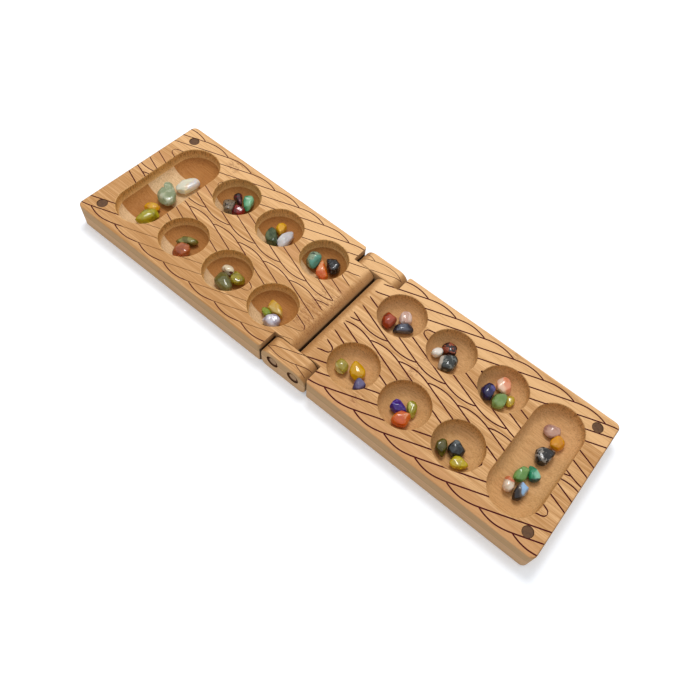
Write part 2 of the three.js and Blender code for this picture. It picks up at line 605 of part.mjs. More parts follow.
// Places the stones of one bowl in a group at the bowl's centre
function bowlStones(place, x, y, rimRadius, straight, seed) {
  const group = new THREE.Group();
  group.position.set(x, y, 0);
  const laid = [];
  stoneShares[place].forEach(([name, color, thickShare, outlineShares, notched], i) => {
    const outline = outlineShares.map(
      ([xShare, yShare]) => new THREE.Vector2(xShare * pitRadius, yShare * pitRadius),
    );
    const middle = new THREE.Vector2();
    for (const corner of outline) middle.addScaledVector(corner, 1 / outline.length);
    for (const corner of outline) corner.sub(middle).multiplyScalar(outlineShare);
    const rings = stoneCorners(outline, thickShare * stoneThickness / 2, seed + i);
    // Off the flat floor, a stone leans in as the cove does
    const out = new THREE.Vector2(middle.x, Math.max(0, Math.abs(middle.y) - straight)
      * Math.sign(middle.y));
    const lean = quarter * 0.5 * (out.length() / rimRadius) ** 2;
    const axis = new THREE.Vector3(out.y, -out.x, 0);
    if (axis.length() > 0) {
      const turn = new THREE.Matrix4().makeRotationAxis(axis.normalize(), -lean);
      for (const ring of rings) ring.forEach((corner) => corner.applyMatrix4(turn));
    }
    // Stones touch each other on the skin stretched over them, notches left out
    const skin = stoneSkin(rings);
    const rest = rollToRest(skin, middle.x, middle.y, rimRadius, straight, laid);
    const offset = new THREE.Vector3(rest.x, rest.y, rest.height);
    laid.push({ planes: facePlanes(skin, offset), corners: cornersOf(skin, offset) });
    const material = new THREE.MeshStandardMaterial({ color, roughness: 0.15, metalness: 0 });
    const mesh = namedMesh(`${place}_${name}`, notched ? notchedStone(rings) : skin, material);
    mesh.position.copy(offset);
    group.add(mesh);
  });
  return group;
}

const mancala = new THREE.Group();
mancala.name = 'mancala_board';

const board = boardGeometry();
const link = linkGeometry();
const dowel = dowelGeometry();
const columnNames = ['inner', 'middle', 'outer'];

['left', 'right'].forEach((half, h) => {
  const sign = h === 0 ? -1 : 1;
  const group = new THREE.Group();
  const body = namedMesh(`${half}_board`, board, wood);
  body.rotation.z = h === 0 ? Math.PI : 0;
  group.add(body);
  ['near', 'far'].forEach((side, s) => {
    const across = s === 0 ? -1 : 1;
    const pin = namedMesh(`${side}_${half}_dowel`, dowel, dowelWood);
    pin.rotation.z = s === 0 ? Math.PI : 0;
    pin.position.set(sign * pivotX, 0, pivotZ);
    group.add(pin);
    const magnetGeometry = new THREE.CylinderGeometry(magnetRadius, magnetRadius,
      magnetThickness, roundSides);
    magnetGeometry.rotateX(quarter);
    const magnet = namedMesh(`${side}_${half}_magnet`, magnetGeometry, steel);
    magnet.position.set(sign * magnetX, across * magnetY,
      boardThickness - magnetRecess - magnetThickness / 2);
    group.add(magnet);
    columnNames.slice(0, pitsPerRow).forEach((column, c) => {
      group.add(bowlStones(`${half}_${column}_${side}_pit`,
        sign * (firstPitX + c * pitPitch), across * pitRowY, pitRadius, 0,
        h * 20 + s * 10 + c * 3));
    });
  });
  group.add(bowlStones(`${half}_store`, sign * storeX, 0, storeHalfWidth, storeStraight,
    40 + h * 10));
  mancala.add(group);
});

['near', 'far'].forEach((side, s) => {
  const mesh = namedMesh(`${side}_link`, link, linkWood);
  mesh.rotation.z = s === 0 ? Math.PI : 0;
  mancala.add(mesh);
});

export default mancala;
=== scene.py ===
"""A folding wooden mancala board, lying open, with 48 tumbled stones in its pits."""

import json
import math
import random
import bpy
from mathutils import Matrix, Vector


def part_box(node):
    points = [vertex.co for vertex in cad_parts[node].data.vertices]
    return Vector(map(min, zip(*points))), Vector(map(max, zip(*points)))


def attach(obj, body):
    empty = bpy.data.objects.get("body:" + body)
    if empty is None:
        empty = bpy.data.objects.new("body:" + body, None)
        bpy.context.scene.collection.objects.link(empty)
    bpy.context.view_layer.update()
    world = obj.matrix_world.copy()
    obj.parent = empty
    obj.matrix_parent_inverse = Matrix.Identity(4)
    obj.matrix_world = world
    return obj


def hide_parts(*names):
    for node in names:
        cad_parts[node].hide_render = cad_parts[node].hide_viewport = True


bl_info = {
    "name": "Folding mancala board",
    "version": (1, 0, 0),
    "blender": (4, 5, 0),
    "location": "View3D > Sidebar > Mancala",
    "description": "Folding mancala board with burnt lines, dowel hinges, magnets and stones",
    "category": "Add Mesh",
}

import bmesh
import bpy
from mathutils import Matrix, Vector, noise

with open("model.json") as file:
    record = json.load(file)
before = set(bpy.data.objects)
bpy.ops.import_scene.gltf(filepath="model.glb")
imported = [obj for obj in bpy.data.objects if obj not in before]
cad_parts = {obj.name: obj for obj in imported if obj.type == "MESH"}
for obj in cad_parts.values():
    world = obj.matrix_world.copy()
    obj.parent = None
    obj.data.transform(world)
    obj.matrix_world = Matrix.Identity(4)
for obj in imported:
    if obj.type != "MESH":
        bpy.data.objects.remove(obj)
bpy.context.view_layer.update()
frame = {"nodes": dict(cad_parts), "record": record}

MM = 0.001
QUARTER = math.pi / 2
HALVES = {"left": -1, "right": 1}
SIDES = {"near": -1, "far": 1}
PIT_COLUMNS = 3

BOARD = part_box("right_board")
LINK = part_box("far_link")
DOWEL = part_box("far_right_dowel")
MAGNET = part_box("far_right_magnet")
THICKNESS = BOARD[1].z

PAST = 5 * MM  # how far a cutter runs past the wood that it cuts
SPARE = 10 * MM  # how far a half's plank runs past its nose until the nose is shaped
ROOM = 0.3 * MM  # what stays free behind a magnet or a dowel
HAIR = 0.005 * MM  # how far the planks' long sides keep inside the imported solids' box
WHITE = (1, 1, 1)


# ---------------------------------------------------------------- properties


def number(name, description, default, **limits):
    """A number that a user can change."""
    return bpy.props.FloatProperty(name=name, description=description, default=default, **limits)


def whole_number(name, description, default):
    """A whole number that a user can change."""
    return bpy.props.IntProperty(name=name, description=description, default=default, min=0)


def length(name, description, default):
    """A length in metres that a user can change."""
    return number(name, description, default, min=0, unit="LENGTH", precision=5)


def tint(name, description, red, green, blue):
    """A colour given as it looks on screen, from 0 to 255."""
    return bpy.props.FloatVectorProperty(
        name=name, description=description, size=3, min=0, max=1, subtype="COLOR",
        default=seen(red, green, blue),
    )


def seen(red, green, blue):
    """A screen colour as the linear colour that a shader takes."""
    shares = [value / 255 for value in (red, green, blue)]
    return tuple(s / 12.92 if s < 0.04045 else ((s + 0.055) / 1.055) ** 2.4 for s in shares)


class BoardSizes(bpy.types.PropertyGroup):
    """The two halves and their hollows."""

    edge: length("Edge rounding", "Radius of the boards' long edges", 1.3 * MM)
    nose_corner: length("Nose corners", "Radius of the noses' lower corners", 2.0 * MM)
    corner: length("Corner rounding", "Radius of the upright corners", 4.6 * MM)
    hinge_corner: length("Hinge corners", "Radius of the corners beside the notches", 2.5 * MM)
    softening: length("Edge softening", "Width of the sanded edge on notches and noses", 0.35 * MM)
    pit_radius: length("Pit radius", "Radius of a pit at its rim", 18.8 * MM)
    pit_depth: length("Pit depth", "Depth of the pits and stores", 13.5 * MM)
    cove: length("Cove radius", "Radius of the cove round a pit's floor", 10.5 * MM)
    rim: length("Rim softening", "Radius of the sanded rim of a pit", 0.5 * MM)
    pit_pitch: length("Pit pitch", "Distance between pits of one row", 45.0 * MM)
    pit_row: length("Row place", "Distance of a row's middle from the board's", 28.0 * MM)
    first_pit: length("First pit", "Distance of the inner pits from the hinge", 37.5 * MM)
    store_radius: length("Store radius", "Half the width of a store", 19.7 * MM)
    store_place: length("Store place", "Distance of a store's middle from the hinge", 173.0 * MM)
    pivot_depth: length("Pivot depth", "Depth of the hinge pivots below the top", 9.0 * MM)
    fold_gap: length("Fold gap", "Gap between the folded halves", 0.8 * MM)
    notch_end: length("Notch end", "Distance of a notch's end from the hinge", 21.1 * MM)
    tongue: length("Tongue half width", "Half the width of a nose between the links", 43.93 * MM)
    hole_radius: length("Dowel hole radius", "Radius of a dowel's hole in a nose", 4.8 * MM)
    pocket_radius: length("Pocket radius", "Radius of a magnet's pocket", 4.15 * MM)


class LinkSizes(bpy.types.PropertyGroup):
    """The two hinge links."""

    top_radius: length("Top radius", "Radius of a link's upper corners", 9.0 * MM)
    bottom_radius: length("Bottom radius", "Radius of a link's lower corners", 5.0 * MM)
    edge: length("Edge rounding", "Rounding along a link's sides", 1.0 * MM)
    bore: length("Bore radius", "Radius of a link's bores", 5.15 * MM)


class LineSizes(bpy.types.PropertyGroup):
    """The burnt line pattern."""

    period: length("Period", "Distance from one curve to the next", 25.66 * MM)
    far_apex: length("Far apex", "Place of one far curve's bend along the board", 57.6 * MM)
    far_row: length("Far row", "Place of the far curves' bends across the board", 28.5 * MM)
    turn_x: length("Turn along", "The near band is the far band turned about this place", 38.1 * MM)
    turn_y: number("Turn across", "Where the two bands' middle lies across the board",
                   -0.5 * MM, unit="LENGTH", precision=5)
    width: length("Line width", "Width of a line at the top", 1.08 * MM)
    thin_width: length("Thin line width", "Width of a faint line at the top", 0.42 * MM)
    depth: length("Line depth", "Depth of a line", 0.45 * MM)
    faint_reach: length("Faint reach", "How far from the hinge the faint lines go", 165 * MM)
    right_start: length("Start", "Where the right half's lines start on its nose", 8.5 * MM)
    left_start: length("End", "Where the left half's lines end on its nose", 7.0 * MM)


class WoodLooks(bpy.types.PropertyGroup):
    """Colours of the wood and metal."""

    light: tint("Light grain", "The lighter streaks of the top", 230, 183, 130)
    dark: tint("Dark grain", "The darker streaks of the top", 188, 137, 85)
    warm: tint("Warm strip", "The redder strips of the top", 204, 151, 103)
    end: tint("End grain", "Where the fibres are cut across", 168, 120, 72)
    joint: tint("Stem joint", "Flecks where a stem's joints run across a strip", 140, 88, 52)
    side: tint("Upper side", "The upper layer along the sides", 188, 153, 110)
    low_side: tint("Lower side", "The lower layer along the sides", 208, 170, 128)
    # The hollows' colours are the strips' own, lifted as painted light that makes up for the shade
    # inside the hollows
    rim: tint("Upper hollow", "Walls of the hollows in the upper layer", 234, 188, 124)
    left_pale: tint("Left pale strip", "Pale lower strips in the left hollows", 234, 201, 157)
    left_brown: tint("Left brown strip", "Brown lower strips in the left hollows", 186, 130, 72)
    right_pale: tint("Right pale strip", "Pale lower strips in the right hollows", 224, 178, 124)
    right_brown: tint("Right brown strip", "Brown lower strips in the right hollows", 222, 176, 120)
    burn: tint("Burnt line", "Lines on the right half", 86, 20, 28)
    red_burn: tint("Red burnt line", "Lines on the left half", 98, 34, 38)
    faint_burn: tint("Faint line", "Faint lines and those on the links", 150, 98, 58)
    dowel: tint("Dowel end", "End grain of the hinge dowels", 176, 140, 104)
    # The dowels' sides and rims and the walls of bores and pockets are darkened as painted shade of
    # the gaps round the dowels and magnets
    dowel_edge: tint("Dowel edge", "Darkened sides and edges of the hinge dowels", 84, 50, 28)
    bore: tint("Bore", "Walls of the hinge bores and magnet pockets", 104, 68, 42)
    magnet: tint("Magnet", "Face of a corner magnet", 96, 66, 42)


class StoneSizes(bpy.types.PropertyGroup):
    """How the playing stones are worn and how bright they are."""

    tumbling: whole_number("Tumbling", "How far the stones' edges are rounded", 7)
    flats: whole_number("Flats", "Number of worn flats on each stone", 6)
    flat_reach: number("Flat reach", "Least distance of a flat, as a share of the half size",
                       0.79, min=0.5, max=0.93)
    fullness: number("Fullness", "How far a stone fills the corners of its box", 0.28)
    gain: number("Gain", "Makes up for the shade at the bottom of a pit", 1.16)


class StageLooks(bpy.types.PropertyGroup):
    """The lamps, the floor and the surroundings."""

    overhead: number("Overhead", "Power of the lamp overhead", 1.6, unit="POWER")
    window: number("Window", "Power of the small lamp that the stones reflect", 6.6, unit="POWER")
    ambient: number("Ambient", "Light that comes from all round", 0.6)
    floor: tint("Floor", "Colour of the floor", 236, 241, 248)
    floor_glow: number("Floor glow", "What lifts the floor to white in the picture", 0.26)


# ---------------------------------------------------------------- mesh helpers


def add_object(name, data):
    """Puts a mesh, a lamp or a camera into the scene as an object of this name."""
    piece = bpy.data.objects.new(name, data)
    bpy.context.scene.collection.objects.link(piece)
    return piece


def rework(mesh, change):
    """Runs a change on the mesh in its editable form."""
    work = bmesh.new()
    work.from_mesh(mesh)
    change(work)
    work.to_mesh(mesh)
    work.free()


def loft(name, rings, *materials):
    """A closed solid through rings of equal length."""
    mesh = bpy.data.meshes.new(name)
    count = len(rings[0])
    corners = [tuple(point) for ring in rings for point in ring]
    top = len(corners) - count
    faces = [list(range(count))[::-1]]
    for low in range(0, top, count):
        high = low + count
        for i in range(count):
            j = (i + 1) % count
            faces.append([low + i, low + j, high + j, high + i])
    faces.append([top + i for i in range(count)])
    mesh.from_pydata(corners, [], faces)
    for material in materials:
        mesh.materials.append(material)
    rework(mesh, lambda work: bmesh.ops.recalc_face_normals(work, faces=work.faces))
    return mesh


def quarter_arc(middle_x, middle_y, radius, start, steps):
    """Points of a quarter circle that begins start quarter turns after the X axis."""
    points = []
    for step in range(steps + 1):
        angle = QUARTER * (start + step / steps)
        points.append((middle_x + radius * math.cos(angle), middle_y + radius * math.sin(angle)))
    return points


def circle(radius, z, sides=64):
    """A ring of points about the Z axis."""
    return [(radius * math.cos(math.tau * i / sides), radius * math.sin(math.tau * i / sides), z)
            for i in range(sides)]


def rounded_outline(half_x, half_y, radius, inset, steps=6):
    """A rectangle about the origin with round corners, drawn in by inset."""
    points = []
    turn = max(radius - inset, 0.2 * MM)
    for corner, (sx, sy) in enumerate(((1, 1), (-1, 1), (-1, -1), (1, -1))):
        points += quarter_arc(sx * (half_x - inset - turn), sy * (half_y - inset - turn), turn,
                              corner, steps)
    return points


def rolled_edges(edge, low, high, steps):
    """(inset, level) pairs from low to high that round both edges of a slab."""
    levels = []
    for end in (0, 1):
        for step in range(steps + 1):
            angle = QUARTER * (1 - step / steps if end else step / steps)
            drop = edge * (1 - math.cos(angle))
            levels.append((edge * (1 - math.sin(angle)), high - drop if end else low + drop))
    return levels


def round_bar(radius, low, high, material, chamfer=0.0, sides=64):
    """A round bar along Z, with its ends chamfered."""
    levels = [(radius - chamfer, low), (radius - chamfer, high)]
    if chamfer:
        levels[1:1] = [(radius, low + chamfer), (radius, high - chamfer)]
    return loft("bar", [circle(*level, sides) for level in levels], material)


def add_modifier(piece, kind, **settings):
    made = piece.modifiers.new(kind.lower(), kind)
    for key, value in settings.items():
        setattr(made, key, value)


def apply_modifiers(piece):
    """Turns what the modifiers show into the piece's own mesh."""
    bpy.context.view_layer.update()
    shown = bpy.data.meshes.new_from_object(
        piece.evaluated_get(bpy.context.evaluated_depsgraph_get())
    )
    piece.modifiers.clear()
    piece.data = shown


def cut(piece, cutter, operation="DIFFERENCE"):
    """Cuts the piece with a closed mesh, whose material goes onto the cut faces."""
    tool = add_object("cutter", cutter)
    add_modifier(piece, "BOOLEAN", operation=operation, solver="MANIFOLD", object=tool,
                 material_mode="TRANSFER")
    apply_modifiers(piece)
    bpy.data.objects.remove(tool)
    if not piece.data.polygons:
        raise RuntimeError(f"nothing was left of {piece.name}")


def joined(meshes):
    """One mesh of several that keep clear of each other."""
    work = bmesh.new()
    materials = []
    for mesh in meshes:
        for material in mesh.materials:
            if material not in materials:
                materials.append(material)
    for mesh in meshes:
        first = len(work.faces)
        work.from_mesh(mesh)
        work.faces.ensure_lookup_table()
        for face in work.faces[first:]:
            if mesh.materials:
                face.material_index = materials.index(mesh.materials[face.material_index])
    whole = bpy.data.meshes.new(meshes[0].name)
    work.to_mesh(whole)
    work.free()
    for material in materials:
        whole.materials.append(material)
    return whole


def finish_surface(piece, sharp_degrees=32):
    """Smooth shading with crisp edges, and flat faces kept flat."""
    for face in piece.data.polygons:
        face.use_smooth = True
    piece.data.set_sharp_from_angle(angle=math.radians(sharp_degrees))
    add_modifier(piece, "WEIGHTED_NORMAL", keep_sharp=True, weight=100)
    apply_modifiers(piece)


def moved(mesh, x, y, z=0.0):
    """The mesh, moved where it is."""
    mesh.transform(Matrix.Translation((x, y, z)))
    return mesh


# ---------------------------------------------------------------- materials


class Nodes:
    """Short calls for the nodes of a material or a node group."""

    def __init__(self, tree):
        self.tree = tree

    def add(self, kind, **values):
        made = self.tree.nodes.new(f"ShaderNode{kind}")
        for key, value in values.items():
            setattr(made, key, value)
        return made

    def link(self, source, target):
        self.tree.links.new(source, target)

    def feed(self, sockets, terms):
        """Links the terms that are sockets and sets the others as fixed values."""
        for socket, term in zip(sockets, terms):
            if isinstance(term, bpy.types.NodeSocket):
                self.link(term, socket)
            elif socket.type == "RGBA" and len(term) == 3:
                socket.default_value = (*term, 1)
            else:
                socket.default_value = term

    def fill(self, node, **values):
        """Feeds the node's inputs of these names, with _ for a space."""
        self.feed([node.inputs[label.replace("_", " ")] for label in values], values.values())
        return node

    def place_group(self, group, **values):
        return self.fill(self.add("Group", node_tree=group), **values)

    def math(self, operation, *terms):
        made = self.add("Math", operation=operation)
        self.feed(made.inputs, terms)
        return made.outputs[0]

    def plus(self, *terms):
        return self.math("ADD", *terms)

    def minus(self, *terms):
        return self.math("SUBTRACT", *terms)

    def times(self, *terms):
        return self.math("MULTIPLY", *terms)

    def over(self, *terms):
        return self.math("DIVIDE", *terms)

    def greatest(self, *terms):
        return self.math("MAXIMUM", *terms)

    def unsigned(self, term):
        return self.math("ABSOLUTE", term)

    def vector(self, operation, *terms):
        made = self.add("VectorMath", operation=operation)
        self.feed(made.inputs, terms)
        return made.outputs[0]

    def parts(self, vector):
        """The vector's parts along X, Y and Z."""
        made = self.add("SeparateXYZ")
        self.link(vector, made.inputs[0])
        return made.outputs

    def ramp(self, value, low, high, to_low=0.0, to_high=1.0):
        """Maps value from low..high to to_low..to_high smoothly, and no further."""
        made = self.add("MapRange", interpolation_type="SMOOTHSTEP")
        self.feed(made.inputs, (value, low, high, to_low, to_high))
        return made.outputs[0]

    def mix(self, share, first, second, blend="MIX"):
        """The first colour, changed by this share into or by the second."""
        made = self.add("Mix", data_type="RGBA", blend_type=blend)
        self.feed((made.inputs[0], made.inputs[6], made.inputs[7]), (share, first, second))
        return made.outputs[2]

    def noise(self, place, scale, detail=2, roughness=0.5, distortion=0.0):
        """Noise whose scale is one number, or three to stretch it along the axes."""
        if isinstance(scale, tuple):
            place, scale = self.vector("MULTIPLY", place, scale), 1
        made = self.fill(self.add("TexNoise"), Vector=place, Scale=scale, Detail=detail,
                         Roughness=roughness, Distortion=distortion)
        return made.outputs["Fac"]

    def bump(self, surface, height, distance, strength=0.35):
        """Feeds the surface's Normal with this height."""
        made = self.fill(self.add("Bump"), Strength=strength, Distance=distance, Height=height)
        self.link(made.outputs[0], surface.inputs["Normal"])

    def shown_white(self):
        """The Light Path node, and a mask of the rays that see a white background."""
        path = self.add("LightPath")
        mirrored = self.greatest(path.outputs["Is Glossy Ray"],
                                 path.outputs["Is Transmission Ray"])
        return path, self.greatest(path.outputs["Is Camera Ray"], mirrored)


SOCKETS = {float: "NodeSocketFloat", tuple: "NodeSocketColor", Vector: "NodeSocketVector"}


def new_group(name, inputs, outputs):
    """A shader node group with its named sockets, and its nodes to wire up. An input's default
    tells its kind, with a tuple for a colour. Every output but Color is a value."""
    group = bpy.data.node_groups.new(name, "ShaderNodeTree")
    for label, default in inputs.items():
        kind = SOCKETS[type(default)]
        socket = group.interface.new_socket(label, in_out="INPUT", socket_type=kind)
        socket.default_value = (*default, 1) if type(default) is tuple else default
    for label in outputs:
        kind = SOCKETS[tuple if label == "Color" else float]
        group.interface.new_socket(label, in_out="OUTPUT", socket_type=kind)
    given = group.nodes.new("NodeGroupInput").outputs
    return group, Nodes(group), given, group.nodes.new("NodeGroupOutput").inputs


# Darkening of the wood, as a shader takes it: pores, glue, torn fibres, and painted shade in the
# gap at the hinge
PORE = (0.14, 0.06, 0.025)
GLUE = (0.16, 0.09, 0.05)
TORN = (0.13, 0.055, 0.02)
# Painted shade: the near-black of the gap between the halves at the hinge
GAP_SHADE = (0.03, 0.013, 0.006)


def wood_grain_group():
    """Straight-grained wood along X, with strips, streaks, pores and end grain."""
    group, n, given, out = new_group(
        "wood_grain",
        {
            "Light": (0.8, 0.55, 0.3), "Dark": (0.6, 0.35, 0.15), "Warm": (0.6, 0.33, 0.18),
            "End": (0.5, 0.27, 0.1), "Strip width": 0.02, "Strip contrast": 0.5,
            "Warm place": 0.0, "Warm reach": 0.01, "Pore share": 0.3,
        },
        ("Color", "Height", "Roughness"),
    )
    where = n.add("TexCoord").outputs
    place = where["Object"]
    sway = n.add("CombineXYZ")
    n.link(n.times(n.minus(n.noise(place, (14, 30, 30)), 0.5), 0.004), sway.inputs["Y"])
    bent = n.vector("ADD", place, sway.outputs[0])
    fine = n.noise(bent, (26, 1250, 1250), 3, 0.7)
    broad = n.noise(bent, (11, 330, 330))
    tone = n.noise(bent, (6, 26, 26), 1)
    across = n.parts(place)["Y"]
    strip = n.add("TexWhiteNoise", noise_dimensions="1D")
    strips = n.plus(n.over(across, given["Strip width"]), 0.37)
    n.link(n.math("FLOOR", strips), strip.inputs["W"])
    hues = n.add("SeparateColor")
    n.link(strip.outputs["Color"], hues.inputs[0])
    strip_tone = n.times(n.minus(hues.outputs[0], 0.5), given["Strip contrast"])
    streaks = n.plus(fine, n.times(broad, 0.7))
    level = n.plus(n.plus(streaks, n.times(tone, 0.4)), strip_tone)
    long_grain = n.mix(n.ramp(level, 0.8, 1.28), given["Dark"], given["Light"])
    off = n.unsigned(n.minus(across, given["Warm place"]))
    warm_strip = n.ramp(n.over(off, given["Warm reach"]), 1.0, 0.6)
    warmth = n.times(warm_strip, n.ramp(broad, 0.3, 0.6, 0.3, 0.65))
    long_grain = n.mix(warmth, long_grain, given["Warm"])
    end = n.ramp(n.unsigned(n.parts(where["Normal"])["X"]), 0.12, 0.6)
    pore = n.ramp(n.noise(place, (420, 1300, 1300), 2, 0.6), 0.58, 0.68)
    pores = n.times(pore, n.times(given["Pore share"], n.plus(end, 0.25)))
    faced = n.mix(n.times(end, 0.8), long_grain, given["End"])
    n.link(n.mix(pores, faced, PORE), out["Color"])
    n.link(n.minus(fine, pores), out["Height"])
    n.link(n.ramp(fine, 0.2, 0.8, 0.64, 0.54), out["Roughness"])
    return group


def stem_joint_group():
    """Brown dashes where a stem's joint runs across some strips of the wood."""
    group, n, given, out = new_group(
        "stem_joint",
        {
            "Place": Vector(), "Reach along": 0.004, "Reach across": 0.01,
        },
        ("Mask",),
    )
    place = n.add("TexCoord").outputs["Object"]
    off = n.parts(n.vector("ABSOLUTE", n.vector("SUBTRACT", place, given["Place"])))
    stray = n.times(n.noise(place, 260), 0.006)
    along = n.minus(n.plus(off["X"], stray), given["Reach along"])
    across = n.minus(n.plus(off["Y"], stray), given["Reach across"])
    inside = n.times(n.ramp(along, 0.005, 0.0005), n.ramp(across, 0.005, 0.0015))
    dashes = n.ramp(n.noise(place, (330, 1500, 1500), 2, 0.6), 0.48, 0.62)
    n.link(n.times(inside, dashes), out["Mask"])
    return group


def side_layers_group():
    """Layers glued along the sides, seen only on upright faces, and painted shade on faces turned
    to the hinge.
    """
    group, n, given, out = new_group(
        "side_layers",
        {
            "Color": (0.5, 0.4, 0.3), "Upper": (0.4, 0.3, 0.2), "Lower": (0.5, 0.35, 0.2),
            "Seam height": 0.012, "Scorch reach": 0.0,
        },
        ("Color",),
    )
    where = n.add("TexCoord").outputs
    place = n.parts(where["Object"])
    facing = n.parts(where["Normal"])
    upright = n.ramp(n.unsigned(facing["Z"]), 0.75, 0.25)
    above = n.minus(place["Z"], given["Seam height"])
    layer = n.mix(n.ramp(above, -0.0003, 0.0003), given["Lower"], given["Upper"])
    plies = n.ramp(n.noise(where["Object"], (9, 9, 650), 3, 0.6), 0.25, 0.8, 0.0, 0.5)
    shaded = n.mix(plies, layer, (0.78, 0.7, 0.6), "MULTIPLY")
    seam = n.ramp(n.unsigned(above), 0.0006, 0.0001, 0.0, 0.4)
    layered = n.mix(n.times(upright, 0.88), given["Color"], n.mix(seam, shaded, GLUE))
    # Painted shade: faces turned along the board near the hinge darken below the top, where the gap
    # between the halves lies in shade
    beside = n.minus(given["Scorch reach"], n.unsigned(place["X"]))
    hingeward = n.times(n.ramp(beside, 0.0, 0.0002),
                        n.ramp(n.unsigned(facing["X"]), 0.55, 0.72))
    gap_shaded = n.times(hingeward, n.ramp(place["Z"], 0.0160, 0.0146, 0.0, 0.88))
    n.link(n.mix(gap_shaded, layered, GAP_SHADE), out["Color"])
    return group


def hollow_layers_group():
    """Walls cut through an upper layer, and below it a layer of pale and brown strips."""
    group, n, given, out = new_group(
        "hollow_layers",
        {
            "Upper": (0.5, 0.3, 0.15), "Pale": (0.6, 0.4, 0.2), "Brown": (0.4, 0.2, 0.1),
            "Seam height": 0.0135, "Strip width": 0.0272, "Strip place": 0.0,
            "Upper share": 1.0,
        },
        ("Color", "Height", "Roughness"),
    )
    where = n.add("TexCoord").outputs
    place = where["Object"]
    parts = n.parts(place)
    across, up = parts["Y"], parts["Z"]
    strips = n.over(n.minus(across, given["Strip place"]), given["Strip width"])
    pale_side = n.ramp(n.math("SINE", n.times(strips, math.pi)), -0.05, 0.05)
    lower = n.mix(pale_side, given["Brown"], given["Pale"])
    above = n.ramp(n.minus(up, given["Seam height"]), -0.0004, 0.0004)
    layer = n.mix(n.times(above, given["Upper share"]), lower, given["Upper"])
    fine = n.noise(place, (30, 1100, 1100), 3, 0.7)
    tone = n.noise(place, (60, 60, 60))
    streaked = n.mix(n.ramp(fine, 0.3, 0.7, 0.75, 0.0), layer, (0.72, 0.62, 0.52), "MULTIPLY")
    streaked = n.mix(n.ramp(tone, 0.35, 0.7, 0.35, 0.0), streaked, (0.82, 0.74, 0.66), "MULTIPLY")
    # Painted shade: the walls darken towards the rim, more so across towards the near side, where
    # the rims shade them
    rim_shade = n.times(n.ramp(up, 0.0115, 0.0195), n.ramp(up, 0.0207, 0.0199))
    rim_shade = n.times(rim_shade, n.ramp(across, -0.01, 0.02, 1.0, 0.65))
    streaked = n.mix(rim_shade, streaked, (0.9, 0.79, 0.58), "MULTIPLY")
    steep = n.ramp(n.unsigned(n.parts(where["Normal"])["Z"]), 0.93, 0.45)
    dashes = n.ramp(n.noise(place, (1500, 1500, 190), 2, 0.6), 0.5, 0.66)
    dashes = n.times(dashes, n.ramp(up, 0.0125, 0.0185))
    pores = n.ramp(n.noise(place, (900, 1300, 1300), 1), 0.58, 0.66)
    pores = n.times(pores, n.greatest(steep, 0.4))
    marks = n.greatest(n.times(dashes, 0.62), n.times(pores, 0.45))
    n.link(n.mix(marks, streaked, TORN), out["Color"])
    n.link(n.minus(fine, marks), out["Height"])
    n.link(n.ramp(fine, 0.2, 0.8, 0.66, 0.56), out["Roughness"])
    return group


def new_material(name):
    """A material, its nodes and its Principled surface."""
    material = bpy.data.materials.new(name)
    material.use_nodes = True
    return material, Nodes(material.node_tree), material.node_tree.nodes["Principled BSDF"]


def shades(colour, low, high):
    """A darker and a lighter shade of a colour."""
    return tuple(c * low for c in colour), tuple(c * high for c in colour)


WOOD_GLOSS = 0.12
GRAIN_DEPTH = 0.1 * MM
JOINT_STRENGTH = 0.62
SIDE_SEAM = 12 * MM  # height of the seam that shows along the sides
HOLLOW_SEAM = 13.5 * MM  # height of the seam that shows in the hollows


def wood_material(name, groups, looks, strip_contrast, warm, pores, layered=False, gap_shade=0,
                  joints=()):
    """Wood of the top and sides. warm is the place and reach across of a redder strip, scorch how
    far from the hinge faces turned along the board are darkened with painted shade of the gap
    between the halves, and joints lists (place, reach along, reach across), all in metres."""
    material, n, surface = new_material(name)
    light, dark = (looks.light, looks.dark) if layered else (looks.dowel, looks.dowel * 0.8)
    grain = n.place_group(
        groups["grain"], Light=light, Dark=dark, Warm=looks.warm,
        End=looks.end if layered else looks.dowel, Strip_width=20 * MM,
        Strip_contrast=strip_contrast, Warm_place=warm[0], Warm_reach=warm[1], Pore_share=pores,
    )
    colour = grain.outputs["Color"]
    for place, along, across in joints:
        spots = n.place_group(groups["joint"], Place=place, Reach_along=along,
                              Reach_across=across)
        colour = n.mix(n.times(spots.outputs[0], JOINT_STRENGTH), colour, looks.joint)
    if layered:
        layers = n.place_group(groups["layers"], Color=colour, Upper=looks.side,
                               Lower=looks.low_side, Seam_height=SIDE_SEAM, Scorch_reach=gap_shade)
        colour = layers.outputs[0]
    n.fill(surface, Base_Color=colour, Roughness=grain.outputs["Roughness"],
           Specular_IOR_Level=WOOD_GLOSS)
    n.bump(surface, grain.outputs["Height"], GRAIN_DEPTH)


# How the hollows of a half are layered: width and place across of the lower strips, in mm, and
# how much of the upper layer's colour its walls show
HOLLOW_LAYERS = {"left": (27.2, -6.4, 1.0), "right": (70.0, -17.5, 0.25)}


def hollow_material(name, groups, looks, half):
    """Wood of the hollows in one half."""
    material, n, surface = new_material(name)
    width, place, share = HOLLOW_LAYERS[half]
    layers = n.place_group(
        groups["hollow"], Upper=looks.rim, Pale=getattr(looks, f"{half}_pale"),
        Brown=getattr(looks, f"{half}_brown"), Seam_height=HOLLOW_SEAM,
        Strip_width=width * MM, Strip_place=place * MM, Upper_share=share,
    )
    n.fill(surface, Base_Color=layers.outputs["Color"], Roughness=layers.outputs["Roughness"],
           Specular_IOR_Level=WOOD_GLOSS)
    n.bump(surface, layers.outputs["Height"], GRAIN_DEPTH)


